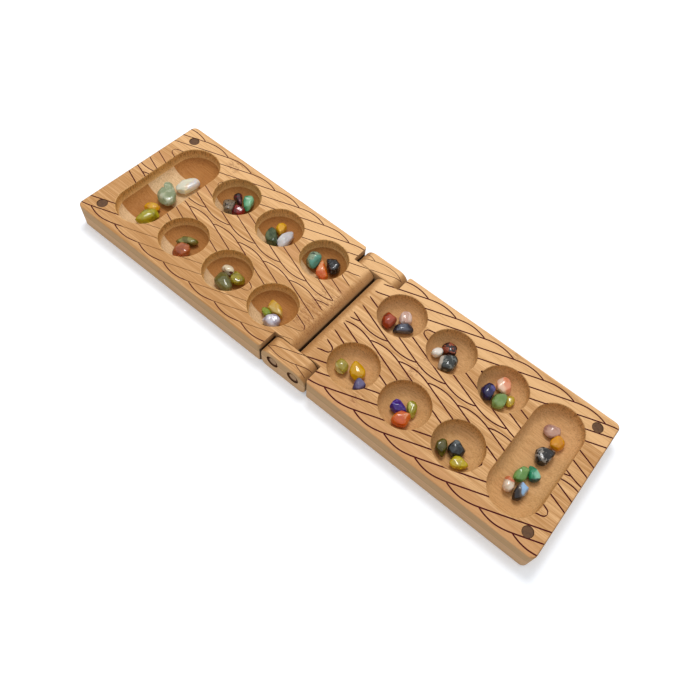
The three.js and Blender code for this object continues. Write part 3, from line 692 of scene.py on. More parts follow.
def char_and_shade_material(name, colour):
    """Charred wood of a line, and the dark painted shade on the walls of bores and pockets and the
    dowels' sides.
    """
    material, n, surface = new_material(name)
    char = n.noise(n.add("TexCoord").outputs["Object"], 1400)
    n.fill(surface, Base_Color=n.mix(n.ramp(char, 0.3, 0.75), *shades(colour, 0.7, 1.25)),
           Roughness=0.85, Specular_IOR_Level=0.15)


def magnet_material(name, colour):
    """Dull brown metal with faint stains."""
    material, n, surface = new_material(name)
    stain = n.noise(n.add("TexCoord").outputs["Object"], 700, 3)
    n.fill(surface, Base_Color=n.mix(n.ramp(stain, 0.3, 0.7), *shades(colour, 0.75, 1.15)),
           Roughness=n.ramp(stain, 0.3, 0.7, 0.45, 0.6), Metallic=0.1, Specular_IOR_Level=0.25)


# ---------------------------------------------------------------- the line pattern


# One curve of the far band, from its bend at the origin, in millimetres: the upper arm rises
# to a junction and an arch, and the lower arm falls to a junction and a trough
UPPER_ARM = ((0, 0), (0.8, 1.9), (3.0, 3.1), (7.0, 4.1), (20.0, 8.9), (34.0, 14.1), (48.0, 19.3),
             (62.8, 24.7), (67.0, 26.0), (71.5, 27.0), (76.0, 27.3), (80.5, 26.9), (84.5, 26.0),
             (88.6, 24.7))
LOWER_ARM = ((0, 0), (0.8, -2.0), (3.0, -3.3), (6.5, -4.6), (20.0, -9.4), (34.0, -14.5),
             (48.0, -19.6), (62.7, -24.9), (67.0, -26.2), (71.5, -27.2), (76.0, -27.5),
             (80.5, -27.2), (84.5, -26.4), (88.5, -25.0))


def smooth_path(points, step):
    """Points a step apart along a smooth curve through the given ones."""
    path = []
    last = len(points) - 1
    for i in range(last):
        p0, p1, p2, p3 = (Vector(points[k]) for k in (max(i - 1, 0), i, i + 1, min(i + 2, last)))
        pieces = max(1, round((p2 - p1).length / step))
        for k in range(pieces):
            t = k / pieces
            path.append(0.5 * (2 * p1 + (p2 - p0) * t + (2 * p0 - 5 * p1 + 4 * p2 - p3) * t * t
                               + (3 * p1 - p0 - 3 * p2 + p3) * t ** 3))
    path.append(Vector(points[last]))
    return path


CURVE_REACH = 89 * MM  # from a curve's bend to the end of its arms
CURVE_STEP = 1.6  # in mm, from one point of a curve to the next


def pattern_curves(sizes, low_x, high_x):
    """(band, number, arm, points) of each line that crosses this stretch of the board."""
    curves = []
    for number in range(-16, 8):
        bend = sizes.far_apex + number * sizes.period
        for arm, points in (("upper", UPPER_ARM), ("lower", LOWER_ARM)):
            path = [p * MM for p in smooth_path(points, CURVE_STEP)]
            far = [(bend + p.x, sizes.far_row + p.y) for p in path]
            if bend < high_x and bend + CURVE_REACH > low_x:
                curves.append(("far", number, arm, far))
            near = [(2 * sizes.turn_x - x, 2 * sizes.turn_y - y) for x, y in far]
            if near[0][0] > low_x and near[0][0] - CURVE_REACH < high_x:
                curves.append(("near", number, arm, near))
    return curves


# The line cutter's section: shares of the half width, and of the line's depth below the top or
# of a millimetre above it
LINE_SECTION = ((-1.9, 0.9), (-1, 0), (-0.5, -1), (0.5, -1), (1, 0), (1.9, 0.9))
TIP_WIDTH = 0.45  # a line's width at its tip, as a share
TIP_GROWTH = 0.4  # how much of its width a line gains from one point to the next


def line_cutter(run, surface_at, depth, material):
    """A closed tool along (x, y, width) points, which follows the surface and narrows towards
    both tips."""
    rings = []
    last = len(run) - 1
    for i, (x, y, width) in enumerate(run):
        along = (Vector(run[min(i + 1, last)][:2]) - Vector(run[max(i - 1, 0)][:2])).normalized()
        half = width * min(1, TIP_WIDTH + TIP_GROWTH * min(i, last - i)) / 2
        top = surface_at(x)
        ring = []
        for share, rise in LINE_SECTION:
            lift = rise * (depth if rise < 0 else 1.0 * MM)
            ring.append((x - along.y * half * share, y + along.x * half * share, top + lift))
        rings.append(ring)
    return loft("line", rings, material)


# Dots where the burning tool dwelled at a hollow's rim: along, across and radius, in mm
BURNT_DOTS = ((142, -17, 1.0), (146.7, -29.4, 0.7), (108.2, 29, 0.9), (117, 42, 0.9),
              (157.6, 38.6, 0.9), (124.6, -11.2, 0.6), (75.6, -11.4, 0.6), (66.9, -18.6, 0.6),
              (28.4, -12.9, 0.6), (64.2, -25.6, 0.5), (177.4, 45.4, 0.6), (46.1, 43.6, 0.5))
DOT_DEPTH = 1.2 * MM


def runs_of_one_look(points, low_x, high_x, look_at):
    """(material, (x, y, width) points) of each stretch of a curve between low_x and high_x."""
    runs = []
    last = None
    for i, (x, y) in enumerate(points):
        width, material = look_at(x, i / (len(points) - 1))
        if not low_x <= x <= high_x:
            last = None
            continue
        if last is not material:
            if last is not None:
                runs[-1][1].append((x, y, width))
            runs.append((material, []))
            last = material
        runs[-1][1].append((x, y, width))
    return runs


def cut_lines(piece, sizes, low_x, high_x, surface_at, looks_at, dots=()):
    """Cuts the lines of one stretch. Neighbours meet, so odd and even curves go in turn."""
    batches = {}
    for x, y, radius in dots:
        dot = round_bar(radius * MM, THICKNESS - DOT_DEPTH, THICKNESS + 1 * MM,
                        bpy.data.materials["burnt_line"], sides=16)
        batches.setdefault((-1, "", ""), []).append(moved(dot, x * MM, y * MM))
    for band, number, arm, points in pattern_curves(sizes, low_x, high_x):

        def look_at(x, travel):
            return looks_at(band, arm, x, travel)

        for material, run in runs_of_one_look(points, low_x, high_x, look_at):
            if len(run) > 2:
                tool = line_cutter(run, surface_at, sizes.depth, material)
                batches.setdefault((number % 2, arm, material.name), []).append(tool)
    for _, tools in sorted(batches.items()):
        cut(piece, joined(tools))


# ---------------------------------------------------------------- operators


# Where stem joints fleck the top: place along and across, and reach along and across, in mm
STEM_JOINTS = ((75, 14, 5, 6), (72, -6, 4, 8), (-152, 50, 6, 6), (-10, -8, 12, 22),
               (55, -47, 4, 5), (120, 55, 3, 4))
# Place and reach across of each half's redder strip, and a place that is off the narrow pieces
WARM_STRIPS = {"left": (17 * MM, 5 * MM), "right": (-56 * MM, 9 * MM)}
NO_STRIP = (100 * MM, 1 * MM)
# How far from the hinge the painted shade of the gap between the halves reaches
GAP_SHADE_REACH = 22 * MM


class MANCALA_OT_finishes(bpy.types.Operator):
    """Makes the shared node groups and the wood, line and metal finishes"""

    bl_idname = "mancala.finishes"
    bl_label = "Finishes"

    def execute(self, context):
        looks = context.scene.mancala_looks
        groups = {"grain": wood_grain_group(), "layers": side_layers_group(),
                  "joint": stem_joint_group(), "hollow": hollow_layers_group()}
        joints = [((x * MM, y * MM, THICKNESS), along * MM, across * MM)
                  for x, y, along, across in STEM_JOINTS]
        for half, side in HALVES.items():
            wood_material(f"{half}_board_finish", groups, looks, strip_contrast=0.3,
                          warm=WARM_STRIPS[half], pores=0.5, layered=True, gap_shade=GAP_SHADE_REACH,
                          joints=[joint for joint in joints if joint[0][0] * side > 0])
            hollow_material(f"{half}_hollow_wood", groups, looks, half)
        wood_material("link_finish", groups, looks, strip_contrast=0.2, warm=NO_STRIP, pores=0.3,
                      layered=True)
        wood_material("dowel_finish", groups, looks, strip_contrast=0.0, warm=NO_STRIP, pores=0.6)
        # The burnt lines are charred; bore_wall and dowel_side are painted shade of the gaps round
        # the dowels and magnets
        for name, colour in (
            ("burnt_line", looks.burn), ("red_burnt_line", looks.red_burn),
            ("faint_burnt_line", looks.faint_burn), ("bore_wall", looks.bore),
            ("dowel_side", looks.dowel_edge),
        ):
            char_and_shade_material(name, colour)
        magnet_material("magnet_finish", looks.magnet)
        return {"FINISHED"}


BOWL_SIDES = 96


def bowl_mesh(sizes, radius, straight, material):
    """The bowl bit's cut: flat floor, cove, upright wall and a sanded rim."""
    floor_radius = radius - sizes.cove
    cove_z = THICKNESS - sizes.pit_depth + sizes.cove
    rim_radius = radius + sizes.rim
    profile = [
        (floor_radius * 0.5, THICKNESS - sizes.pit_depth),
        *quarter_arc(floor_radius, cove_z, sizes.cove, 3, 12),
        *reversed(quarter_arc(rim_radius, THICKNESS - sizes.rim, sizes.rim, 1, 4)),
        (rim_radius, THICKNESS + 3 * MM),
    ]
    rings = []
    for ring_radius, z in profile:
        ring = []
        for i in range(BOWL_SIDES):
            angle = math.tau * (i + 0.5) / BOWL_SIDES
            y = ring_radius * math.sin(angle)
            ring.append((ring_radius * math.cos(angle), y + math.copysign(straight, y), z))
        rings.append(ring)
    return loft("bowl", rings, material)


# Shares of the full line width on the left half: near its store, and on the first and the
# second half of an arm
STORE_WIDTH, FIRST_WIDTH, SECOND_WIDTH = 0.85, 0.64, 0.74
FAINT_TRAVEL = 0.7  # how far along its upper arm a near curve is faint


class MANCALA_OT_boards(bpy.types.Operator):
    """Makes the two halves with their pits, stores, noses, notches and burnt lines"""

    bl_idname = "mancala.boards"
    bl_label = "Boards"

    def execute(self, context):
        for half in HALVES:
            self.make_half(context.scene, half)
        return {"FINISHED"}

    def make_half(self, scene, half):
        """Shapes a half on the right-hand side, turns it round for the left, and burns it."""
        sizes = scene.mancala_board
        wood = bpy.data.materials[f"{half}_board_finish"]
        piece = add_object(f"{half}_half", self.slab(sizes, wood))
        cut(piece, self.nose(sizes, wood), "INTERSECT")
        for side in SIDES.values():
            cut(piece, self.notch(sizes, side, wood))
            cut(piece, self.corner(sizes, side, wood))
        self.soften(piece, sizes.softening)
        cut(piece, joined(self.hollows(sizes, bpy.data.materials[f"{half}_hollow_wood"])))
        for side in SIDES.values():
            cut(piece, self.dowel_hole(sizes, side))
        if half == "left":
            piece.data.transform(Matrix.Rotation(math.pi, 4, "Z"))
        self.burn_lines(piece, scene.mancala_lines, sizes, half)
        finish_surface(piece)
        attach(piece, f"{half}_board")
        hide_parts(f"{half}_board")

    def upright(self, name, outline, wood):
        """A tool with this outline from above, through the whole thickness."""
        rings = [[(x, y, z) for x, y in outline] for z in (-PAST, THICKNESS + PAST)]
        return loft(name, rings, wood)

    def slab(self, sizes, wood):
        """The plank with its rounded edges, run past the nose."""
        half_x = (BOARD[1].x + SPARE) / 2
        rings = []
        for inset, z in rolled_edges(sizes.edge, 0, THICKNESS, 6):
            outline = rounded_outline(half_x, BOARD[1].y - HAIR, sizes.corner, inset)
            rings.append([(x + half_x - SPARE, y, z) for x, y in outline])
        return loft("slab", rings, wood)

    def nose(self, sizes, wood):
        """What lies outboard of the nose: round about the pivot, upright below it."""
        far = BOARD[1].x + SPARE
        edge = sizes.nose_corner
        low_x = sizes.fold_gap / 2 + edge
        pivot_x, depth = sizes.fold_gap / 2 + sizes.pivot_depth, sizes.pivot_depth
        outline = [
            (far, -PAST), (far, THICKNESS + PAST), (pivot_x, THICKNESS + PAST),
            *quarter_arc(pivot_x, THICKNESS - depth, depth, 1, 16),
            *quarter_arc(low_x, edge, edge, 2, 6),
            (low_x, -PAST),
        ]
        reach = BOARD[1].y + PAST
        rings = [[(x, y, z) for x, z in outline] for y in (-reach, reach)]
        return loft("nose", rings, wood)

    def notch(self, sizes, side, wood):
        """The room for a link beside the nose."""
        low, high = sorted((side * sizes.tongue, side * (BOARD[1].y + PAST)))
        outline = rounded_outline(sizes.notch_end, (high - low) / 2, 0, 0, 1)
        return self.upright("notch", [(x, y + (low + high) / 2) for x, y in outline], wood)

    def corner(self, sizes, side, wood):
        """What the rounding takes off the corner between a notch and the long side."""
        radius = sizes.hinge_corner
        x, y = sizes.notch_end, BOARD[1].y
        outline = [(x + radius, y + MM), (x - MM, y + MM), (x - MM, y - radius),
                   *reversed(quarter_arc(x + radius, y - radius, radius, 1, 6))]
        return self.upright("corner", [(px, side * py) for px, py in outline], wood)

    def soften(self, piece, width):
        """Sands the edges that the nose and the notches have left."""
        add_modifier(piece, "BEVEL", width=width, segments=2, limit_method="ANGLE",
                     angle_limit=math.radians(50))
        apply_modifiers(piece)

    def hollows(self, sizes, wood):
        """The tools for the store, the pits and the magnets' pockets."""
        straight = sizes.pit_row + sizes.pit_radius - sizes.store_radius
        tools = [moved(bowl_mesh(sizes, sizes.store_radius, straight, wood),
                       sizes.store_place, 0)]
        magnet = (MAGNET[0] + MAGNET[1]) / 2
        for side in SIDES.values():
            for column in range(PIT_COLUMNS):
                tools.append(moved(bowl_mesh(sizes, sizes.pit_radius, 0, wood),
                                   sizes.first_pit + column * sizes.pit_pitch,
                                   side * sizes.pit_row))
            pocket = round_bar(sizes.pocket_radius, MAGNET[0].z - ROOM, THICKNESS + 3 * MM,
                               bpy.data.materials["bore_wall"])
            tools.append(moved(pocket, magnet.x, side * magnet.y))
        return tools

    def dowel_hole(self, sizes, side):
        """The hole that grips a dowel in the nose, open towards the link."""
        hole = round_bar(sizes.hole_radius, DOWEL[0].y - ROOM, BOARD[1].y + PAST,
                         bpy.data.materials["bore_wall"])
        hole.transform(Matrix.Rotation(-QUARTER, 4, "X"))
        if side < 0:
            hole.transform(Matrix.Scale(-1, 4, (0, 1, 0)))
            hole.flip_normals()
        pivot = (DOWEL[0] + DOWEL[1]) / 2
        return moved(hole, pivot.x, 0, pivot.z)

    def burn_lines(self, piece, lines, sizes, half):
        """Cuts this half's lines, which are fainter on the near side of the left one."""
        pivot_x = sizes.fold_gap / 2 + sizes.pivot_depth
        burnt, red, faint = (bpy.data.materials[f"{kind}burnt_line"]
                             for kind in ("", "red_", "faint_"))

        def surface_at(x):
            inboard = max(pivot_x - abs(x), 0)
            return (THICKNESS - sizes.pivot_depth
                    + math.sqrt(max(sizes.pivot_depth ** 2 - inboard ** 2, 0)))

        def looks_at(band, arm, x, travel):
            if half == "right":
                return lines.width, burnt
            if band == "near" and x < -lines.faint_reach:
                return lines.width * STORE_WIDTH, burnt
            if band == "near" and arm == "upper" and travel < FAINT_TRAVEL:
                return lines.thin_width, faint
            return lines.width * (SECOND_WIDTH if travel > 0.5 else FIRST_WIDTH), red

        end = BOARD[1].x + 2 * MM
        if half == "right":
            cut_lines(piece, lines, lines.right_start, end, surface_at, looks_at, BURNT_DOTS)
        else:
            cut_lines(piece, lines, -end, -lines.left_start, surface_at, looks_at)


LINK_LINE = 1.25  # width of a line on a link, as a share of a faint line's
LINK_LINE_END = 0.9  # how far round its upper corner a link's lines go, as a share


class MANCALA_OT_links(bpy.types.Operator):
    """Makes the two hinge links with their bores and their share of the lines"""

    bl_idname = "mancala.links"
    bl_label = "Hinge links"

    def execute(self, context):
        sizes = context.scene.mancala_link
        wood = bpy.data.materials["link_finish"]
        pivot = (DOWEL[0] + DOWEL[1]) / 2
        for side_name, side in SIDES.items():
            rings = [[(x, y, z) for x, z in self.outline(sizes, inset)]
                     for inset, y in rolled_edges(sizes.edge, LINK[0].y, LINK[1].y, 4)]
            piece = add_object(f"{side_name}_hinge_link", loft("link", rings, wood))
            for sign in (-1, 1):
                bore = round_bar(sizes.bore, LINK[0].y - PAST, LINK[1].y + PAST,
                                 bpy.data.materials["bore_wall"])
                bore.transform(Matrix.Rotation(-QUARTER, 4, "X"))
                cut(piece, moved(bore, sign * pivot.x, 0, pivot.z))
            if side < 0:
                piece.data.transform(Matrix.Rotation(math.pi, 4, "Z"))
            self.burn_lines(piece, sizes, context.scene.mancala_lines)
            finish_surface(piece)
            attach(piece, f"{side_name}_link")
            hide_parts(f"{side_name}_link")
        return {"FINISHED"}

    def outline(self, sizes, inset):
        """The link's side view, drawn in by inset."""
        points = []
        half_z = THICKNESS / 2
        corners = ((1, 1, sizes.top_radius), (-1, 1, sizes.top_radius),
                   (-1, -1, sizes.bottom_radius), (1, -1, sizes.bottom_radius))
        for corner, (sx, sz, radius) in enumerate(corners):
            points += quarter_arc(sx * (LINK[1].x - radius), half_z + sz * (half_z - radius),
                                  radius - inset, corner, 8)
        return points

    def burn_lines(self, piece, sizes, lines):
        """Carries the halves' lines on across the link, thinner."""
        radius = sizes.top_radius
        flat = LINK[1].x - radius

        def surface_at(x):
            past = max(abs(x) - flat, 0)
            return THICKNESS - radius + math.sqrt(max(radius ** 2 - past ** 2, 0))

        def looks_at(band, arm, x, travel):
            return lines.thin_width * LINK_LINE, bpy.data.materials["red_burnt_line"]

        end = flat + LINK_LINE_END * radius
        cut_lines(piece, lines, -end, end, surface_at, looks_at)


class MANCALA_OT_dowels(bpy.types.Operator):
    """Makes the four hinge dowels"""

    bl_idname = "mancala.dowels"
    bl_label = "Hinge dowels"

    def execute(self, context):
        for half in HALVES:
            for side in SIDES:
                low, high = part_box(f"{side}_{half}_dowel")
                mesh = self.bar((high.z - low.z) / 2, (high.y - low.y) / 2)
                mesh.transform(Matrix.Rotation(QUARTER, 4, "X"))
                mesh = moved(mesh, *(low + high) / 2)
                piece = add_object(f"{side}_{half}_hinge_dowel", mesh)
                finish_surface(piece)
                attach(piece, f"{half}_board")
                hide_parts(f"{side}_{half}_dowel")
        return {"FINISHED"}

    def bar(self, radius, reach):
        """A dowel whose sides and rims are darkened with painted shade of the gap round it, and
        whose ends show pale end grain.
        """
        # The side, the chamfer and the outer ring of each end take the dowel_side colour, as
        # painted shade of the gap round the dowel
        chamfer, shade_ring = 0.4 * MM, 1.0 * MM
        rim = radius - chamfer
        levels = ((rim - shade_ring, -reach), (rim, -reach), (radius, chamfer - reach),
                  (radius, reach - chamfer), (rim, reach), (rim - shade_ring, reach))
        mesh = loft("dowel", [circle(*level) for level in levels],
                    bpy.data.materials["dowel_finish"], bpy.data.materials["dowel_side"])
        for face in mesh.polygons:
            face.material_index = 0 if len(face.vertices) > 4 else 1
        return mesh


class MANCALA_OT_magnets(bpy.types.Operator):
    """Makes the four corner magnets"""

    bl_idname = "mancala.magnets"
    bl_label = "Magnets"

    def execute(self, context):
        for half in HALVES:
            for side in SIDES:
                low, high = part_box(f"{side}_{half}_magnet")
                middle = (low + high) / 2
                mesh = round_bar((high.x - low.x) / 2, low.z, high.z,
                                 bpy.data.materials["magnet_finish"], chamfer=0.25 * MM)
                piece = add_object(f"{side}_{half}_disc_magnet", moved(mesh, middle.x, middle.y))
                finish_surface(piece)
                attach(piece, f"{half}_board")
                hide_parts(f"{side}_{half}_magnet")
        return {"FINISHED"}


# Each stone's figure, its two colours on screen, how much light goes through it, how fine its
# figure is and, on some, a patch of another colour: which way it faces, where it starts, colour.
# The lighter patches on top of the sapphire, the amethyst, the ember and the coal are painted
# highlights
STONE_LOOKS = {
    "amber": ("clouds", (220, 170, 20), (200, 140, 10), 0.35, 1.0),
    "olive": ("clouds", (182, 172, 26), (140, 134, 18), 0.45, 1.0),
    "heart": ("clouds", (132, 142, 106), (180, 184, 156), 0.15, 1.0),
    "quartz": ("clouds", (250, 232, 210), (234, 204, 174), 0.5, 0.6, (1, 0.3, 0.3), 0.6,
               (250, 246, 240)),
    "twig": ("bands", (98, 92, 26), (136, 130, 66), 0.2, 1.4),
    "salmon": ("clouds", (178, 98, 48), (146, 72, 36), 0.3, 0.7),
    "moss": ("clouds", (100, 98, 50), (130, 126, 76), 0.3, 1.0),
    "citrine": ("clouds", (172, 156, 32), (132, 120, 22), 0.45, 1.0),
    "dalmatian": ("flecks", (200, 184, 154), (112, 62, 50), 0.0, 0.6),
    "honey": ("clouds", (204, 156, 40), (206, 178, 100), 0.3, 1.4),
    "lime": ("clouds", (150, 164, 34), (108, 126, 22), 0.4, 1.0),
    "lavender": ("bands", (190, 186, 194), (154, 148, 162), 0.15, 0.8),
    "granite": ("flecks", (112, 98, 80), (40, 34, 30), 0.0, 1.3),
    "garnet": ("clouds", (140, 22, 20), (88, 10, 14), 0.25, 0.8),
    "jade": ("bands", (62, 142, 98), (128, 186, 146), 0.25, 0.5, (0, 0.2, 1), 0.95,
             (206, 226, 214)),
    "onyx": ("clouds", (30, 24, 28), (84, 26, 34), 0.0, 1.0),
    "topaz": ("clouds", (224, 170, 26), (194, 134, 12), 0.35, 0.8),
    "pine": ("clouds", (44, 62, 28), (88, 100, 64), 0.1, 1.4),
    "milk": ("clouds", (214, 212, 212), (192, 188, 190), 0.3, 0.6),
    "turquoise": ("flecks", (120, 138, 112), (46, 60, 48), 0.0, 0.9, (1, -0.2, 0.3), 0.4,
                  (66, 128, 110)),
    "carnelian": ("clouds", (206, 94, 14), (214, 118, 34), 0.3, 1.0, (-0.2, 0.1, 1), 0.8,
                  (228, 148, 98)),
    "basalt": ("flecks", (18, 18, 20), (78, 78, 80), 0.0, 1.2),
    "brick": ("clouds", (144, 52, 18), (98, 30, 14), 0.0, 0.8, (0.7, 0.2, 0.6), 0.5,
              (156, 70, 46)),
    "slate": ("bands", (86, 90, 104), (40, 44, 56), 0.1, 0.9, (-1, 0, 0.1), 0.55, (22, 26, 36)),
    "shell": ("bands", (198, 164, 148), (226, 204, 192), 0.2, 1.3),
    "chalk": ("clouds", (228, 222, 212), (206, 196, 184), 0.2, 0.6),
    "jasper": ("flecks", (42, 24, 22), (150, 76, 52), 0.0, 0.8, (-0.4, -0.7, 0.3), 0.8,
               (132, 58, 34)),
    "flint": ("flecks", (40, 44, 42), (104, 108, 104), 0.0, 0.7, (-0.9, -0.5, 0.1), 0.5,
              (176, 166, 152)),
    "sapphire": ("clouds", (30, 24, 78), (14, 12, 40), 0.15, 1.0, (0.2, 0.5, 0.8), 0.9,
                 (72, 72, 136)),
    "fern": ("clouds", (124, 156, 84), (150, 178, 112), 0.45, 0.8),
    "peach": ("bands", (222, 152, 118), (236, 192, 164), 0.2, 0.7, (-0.1, 0.5, 1), 0.98,
              (208, 112, 62)),
    "lemon": ("clouds", (204, 182, 64), (180, 152, 40), 0.45, 0.8),
    "straw": ("bands", (172, 156, 60), (208, 200, 138), 0.4, 0.7),
    "sun": ("clouds", (206, 158, 0), (186, 134, 0), 0.2, 0.6),
    "iris": ("bands", (58, 48, 94), (102, 96, 134), 0.2, 0.7),
    "amethyst": ("clouds", (58, 24, 122), (98, 76, 172), 0.25, 1.0, (-0.5, 0.4, 0.8), 0.95,
                 (120, 108, 196)),
    "olivine": ("bands", (152, 144, 40), (186, 184, 82), 0.3, 1.2),
    "ember": ("clouds", (202, 88, 10), (214, 112, 36), 0.3, 0.8, (0.2, 0.4, 0.9), 0.98,
              (236, 158, 112)),
    "bottle": ("clouds", (96, 90, 28), (60, 58, 18), 0.4, 0.8),
    "coal": ("clouds", (18, 20, 21), (46, 52, 54), 0.0, 1.4, (-0.3, 0.5, 0.8), 0.95,
             (96, 104, 106)),
    "canary": ("clouds", (208, 190, 40), (182, 162, 22), 0.4, 0.8),
    "marigold": ("clouds", (214, 150, 0), (196, 126, 0), 0.2, 0.6),
    "mauve": ("clouds", (186, 146, 128), (150, 110, 98), 0.1, 0.8),
    "obsidian": ("flecks", (22, 20, 20), (128, 122, 114), 0.0, 0.55),
    "malachite": ("bands", (40, 138, 100), (140, 200, 174), 0.25, 0.7, (0.8, -0.7, -0.1), 0.5,
                  (30, 54, 52)),
    "apple": ("clouds", (112, 158, 80), (140, 180, 104), 0.45, 0.8),
    "coral": ("clouds", (206, 184, 158), (222, 206, 184), 0.3, 0.6, (-0.4, 0.8, 0.4), 0.55,
              (204, 104, 54)),
    "agate": ("bands", (32, 26, 26), (92, 80, 72), 0.1, 0.6, (0.6, 0.6, 0.6), 0.45,
              (146, 184, 220)),
}


def figure_groups():
    """The three figures that polished stones show, clouds, bands and flecks, each with a patch."""
    sockets = {"Base": (0.5, 0.5, 0.5), "Second": (0.2, 0.2, 0.2), "Fineness": 1.0,
               "Patch": (0.5, 0.5, 0.5), "Patch way": Vector(), "Patch start": 2.0}
    made = {}
    for kind in ("clouds", "bands", "flecks"):
        group, n, given, out = new_group(f"stone_{kind}", sockets, ("Color", "Height"))
        where = n.add("TexCoord").outputs
        scaled = n.fill(n.add("VectorMath", operation="SCALE"), Vector=where["Object"],
                        Scale=given["Fineness"])
        place = scaled.outputs[0]
        if kind == "clouds":
            share = n.ramp(n.noise(place, 170, 3, 0.55, 0.6), 0.42, 0.66)
        elif kind == "bands":
            wave = n.fill(n.add("TexWave", bands_direction="DIAGONAL"), Vector=place, Scale=45,
                          Distortion=5, Detail=3, Detail_Scale=1.4)
            share = n.ramp(wave.outputs["Fac"], 0.45, 0.95)
        else:
            share = n.ramp(n.noise(place, 520, 3, 0.6, 0.3), 0.53, 0.6)
        figured = n.mix(share, given["Base"], given["Second"])
        # The patch covers the side of the stone that Patch way points to; on some stones it is a
        # painted highlight on top
        centred = n.vector("MULTIPLY_ADD", where["Generated"], (2, 2, 2), (-1, -1, -1))
        toward = n.add("VectorMath", operation="DOT_PRODUCT")
        n.feed(toward.inputs, (centred, given["Patch way"]))
        ragged = n.times(n.minus(n.noise(place, 240), 0.5), 0.9)
        edge = n.minus(n.plus(toward.outputs["Value"], ragged), given["Patch start"])
        patch = n.times(n.ramp(edge, -0.05, 0.12), 0.9)
        n.link(n.mix(patch, figured, given["Patch"]), out["Color"])
        n.link(n.noise(where["Object"], 420), out["Height"])
        made[kind] = group
    return made


LIGHTEST = 0.92  # no stone's colour goes above this share of white


def stone_material(name, groups, gain):
    """The stone's own polished surface. gain makes up for the shade at the bottom of a pit."""
    kind, base, second, clear, fineness, *patch = STONE_LOOKS[name]
    material, n, surface = new_material(f"stone_{name}")

    def lifted(colour):
        return tuple(min(share * gain, LIGHTEST) for share in seen(*colour))

    figure = n.place_group(groups[kind], Base=lifted(base), Second=lifted(second),
                           Fineness=fineness)
    if patch:
        way, start, colour = patch
        n.fill(figure, Patch_way=Vector(way).normalized(), Patch_start=start,
               Patch=lifted(colour))
    n.fill(surface, Base_Color=figure.outputs["Color"], Roughness=0.09, IOR=1.52,
           Specular_IOR_Level=0.44)
    if clear:
        n.fill(surface, Transmission_Weight=clear * 0.8, Subsurface_Weight=0.4,
               Subsurface_Scale=2.5 * MM, Subsurface_Radius=(1.0, 0.8, 0.6))
    n.bump(surface, figure.outputs["Height"], 0.15 * MM, 0.2)
    return material


BLEND = 0.06  # how softly a flat meets the rest of a stone, in shares of the half size
FARTHEST_FLAT = 0.93
WEAR = 0.01  # depth of a stone's unevenness, as a share
WEAR_FINENESS = 260


def tumble(corner, flats):
    """Presses a corner of a stone, given in shares of its half size, onto the stone's flats."""
    for way, reach in flats:
        past = corner.dot(way) - (reach - BLEND)
        if past > 0:
            corner = corner - way * (past - BLEND * (1 - math.exp(-past / BLEND)))
    return corner


def extents(points):
    """The least and the greatest of the points' coordinates."""
    return ([min(p[k] for p in points) for k in range(3)],
            [max(p[k] for p in points) for k in range(3)])


class MANCALA_OT_stones(bpy.types.Operator):
    """Makes the 48 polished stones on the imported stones' shapes"""

    bl_idname = "mancala.stones"
    bl_label = "Stones"

    def execute(self, context):
        groups = figure_groups()
        sizes = context.scene.mancala_stones
        bodies = frame["record"]["behaviour"]["bodies"]
        for body, members in bodies.items():
            if not body.endswith("_stones"):
                continue
            for node in members:
                piece = self.polished(node, sizes)
                look = node.rsplit("_", 1)[1]
                piece.data.materials.append(stone_material(look, groups, sizes.gain))
                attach(piece, body)
                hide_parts(node)
        return {"FINISHED"}

    def polished(self, node, sizes):
        """The stone's faceted solid, rounded by tumbling and worn flat here and there."""
        piece = self.rounded(node, sizes.tumbling)
        flats = self.flats(random.Random(node), sizes)
        low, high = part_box(node)
        corners = [v.co.copy() for v in piece.data.vertices]
        now_low, now_high = extents(corners)
        worn = []
        for corner in corners:
            share = Vector([
                2 * (corner[k] - (now_low[k] + now_high[k]) / 2) / (now_high[k] - now_low[k])
                for k in range(3)
            ])
            share = tumble(share, flats)
            squareness = 1 - max(abs(value) for value in share) / share.length
            fullness = 1 + sizes.fullness * squareness
            uneven = 1 + noise.noise(corner * WEAR_FINENESS)
            worn.append(share * fullness * (1 - WEAR * uneven))
        least, most = extents(worn)
        for vertex, share in zip(piece.data.vertices, worn):
            vertex.co = [low[k] + (high[k] - low[k]) * (share[k] - least[k])
                         / (most[k] - least[k]) for k in range(3)]
        for face in piece.data.polygons:
            face.use_smooth = True
        return piece

    def rounded(self, node, tumbling):
        """A finer copy of the stone's solid with its edges rounded."""
        mesh = frame["nodes"][node].data.copy()
        mesh.materials.clear()
        rework(mesh, lambda work: bmesh.ops.remove_doubles(
            work, verts=work.verts, dist=0.01 * MM))
        for attribute in ("custom_normal", "sharp_face", "sharp_edge"):
            if attribute in mesh.attributes:
                mesh.attributes.remove(mesh.attributes[attribute])
        piece = add_object(f"{node}_stone", mesh)
        add_modifier(piece, "SUBSURF", subdivision_type="SIMPLE", levels=2, render_levels=2)
        add_modifier(piece, "SMOOTH", factor=0.6, iterations=tumbling)
        apply_modifiers(piece)
        return piece

    def flats(self, chance, sizes):
        """(way, reach) of each flat, seldom on the underside."""
        flats = []
        while len(flats) < sizes.flats:
            way = Vector([chance.uniform(-1, 1) for _ in range(3)])
            if 0.3 < way.length < 1 and way.z > -0.2 * way.length:
                reach = chance.uniform(sizes.flat_reach, FARTHEST_FLAT)
                flats.append((way.normalized(), reach))
        return flats


# The photograph's own view, found from the board's corners and pits
VIEW_PLACE = (0.151657, -0.217164, 0.412233)
VIEW_TURN = (29.22043, -6.71156, 38.22729)
VIEW_LENS = 33.375
VIEW_SHIFT = (-0.04376, 0.02232)

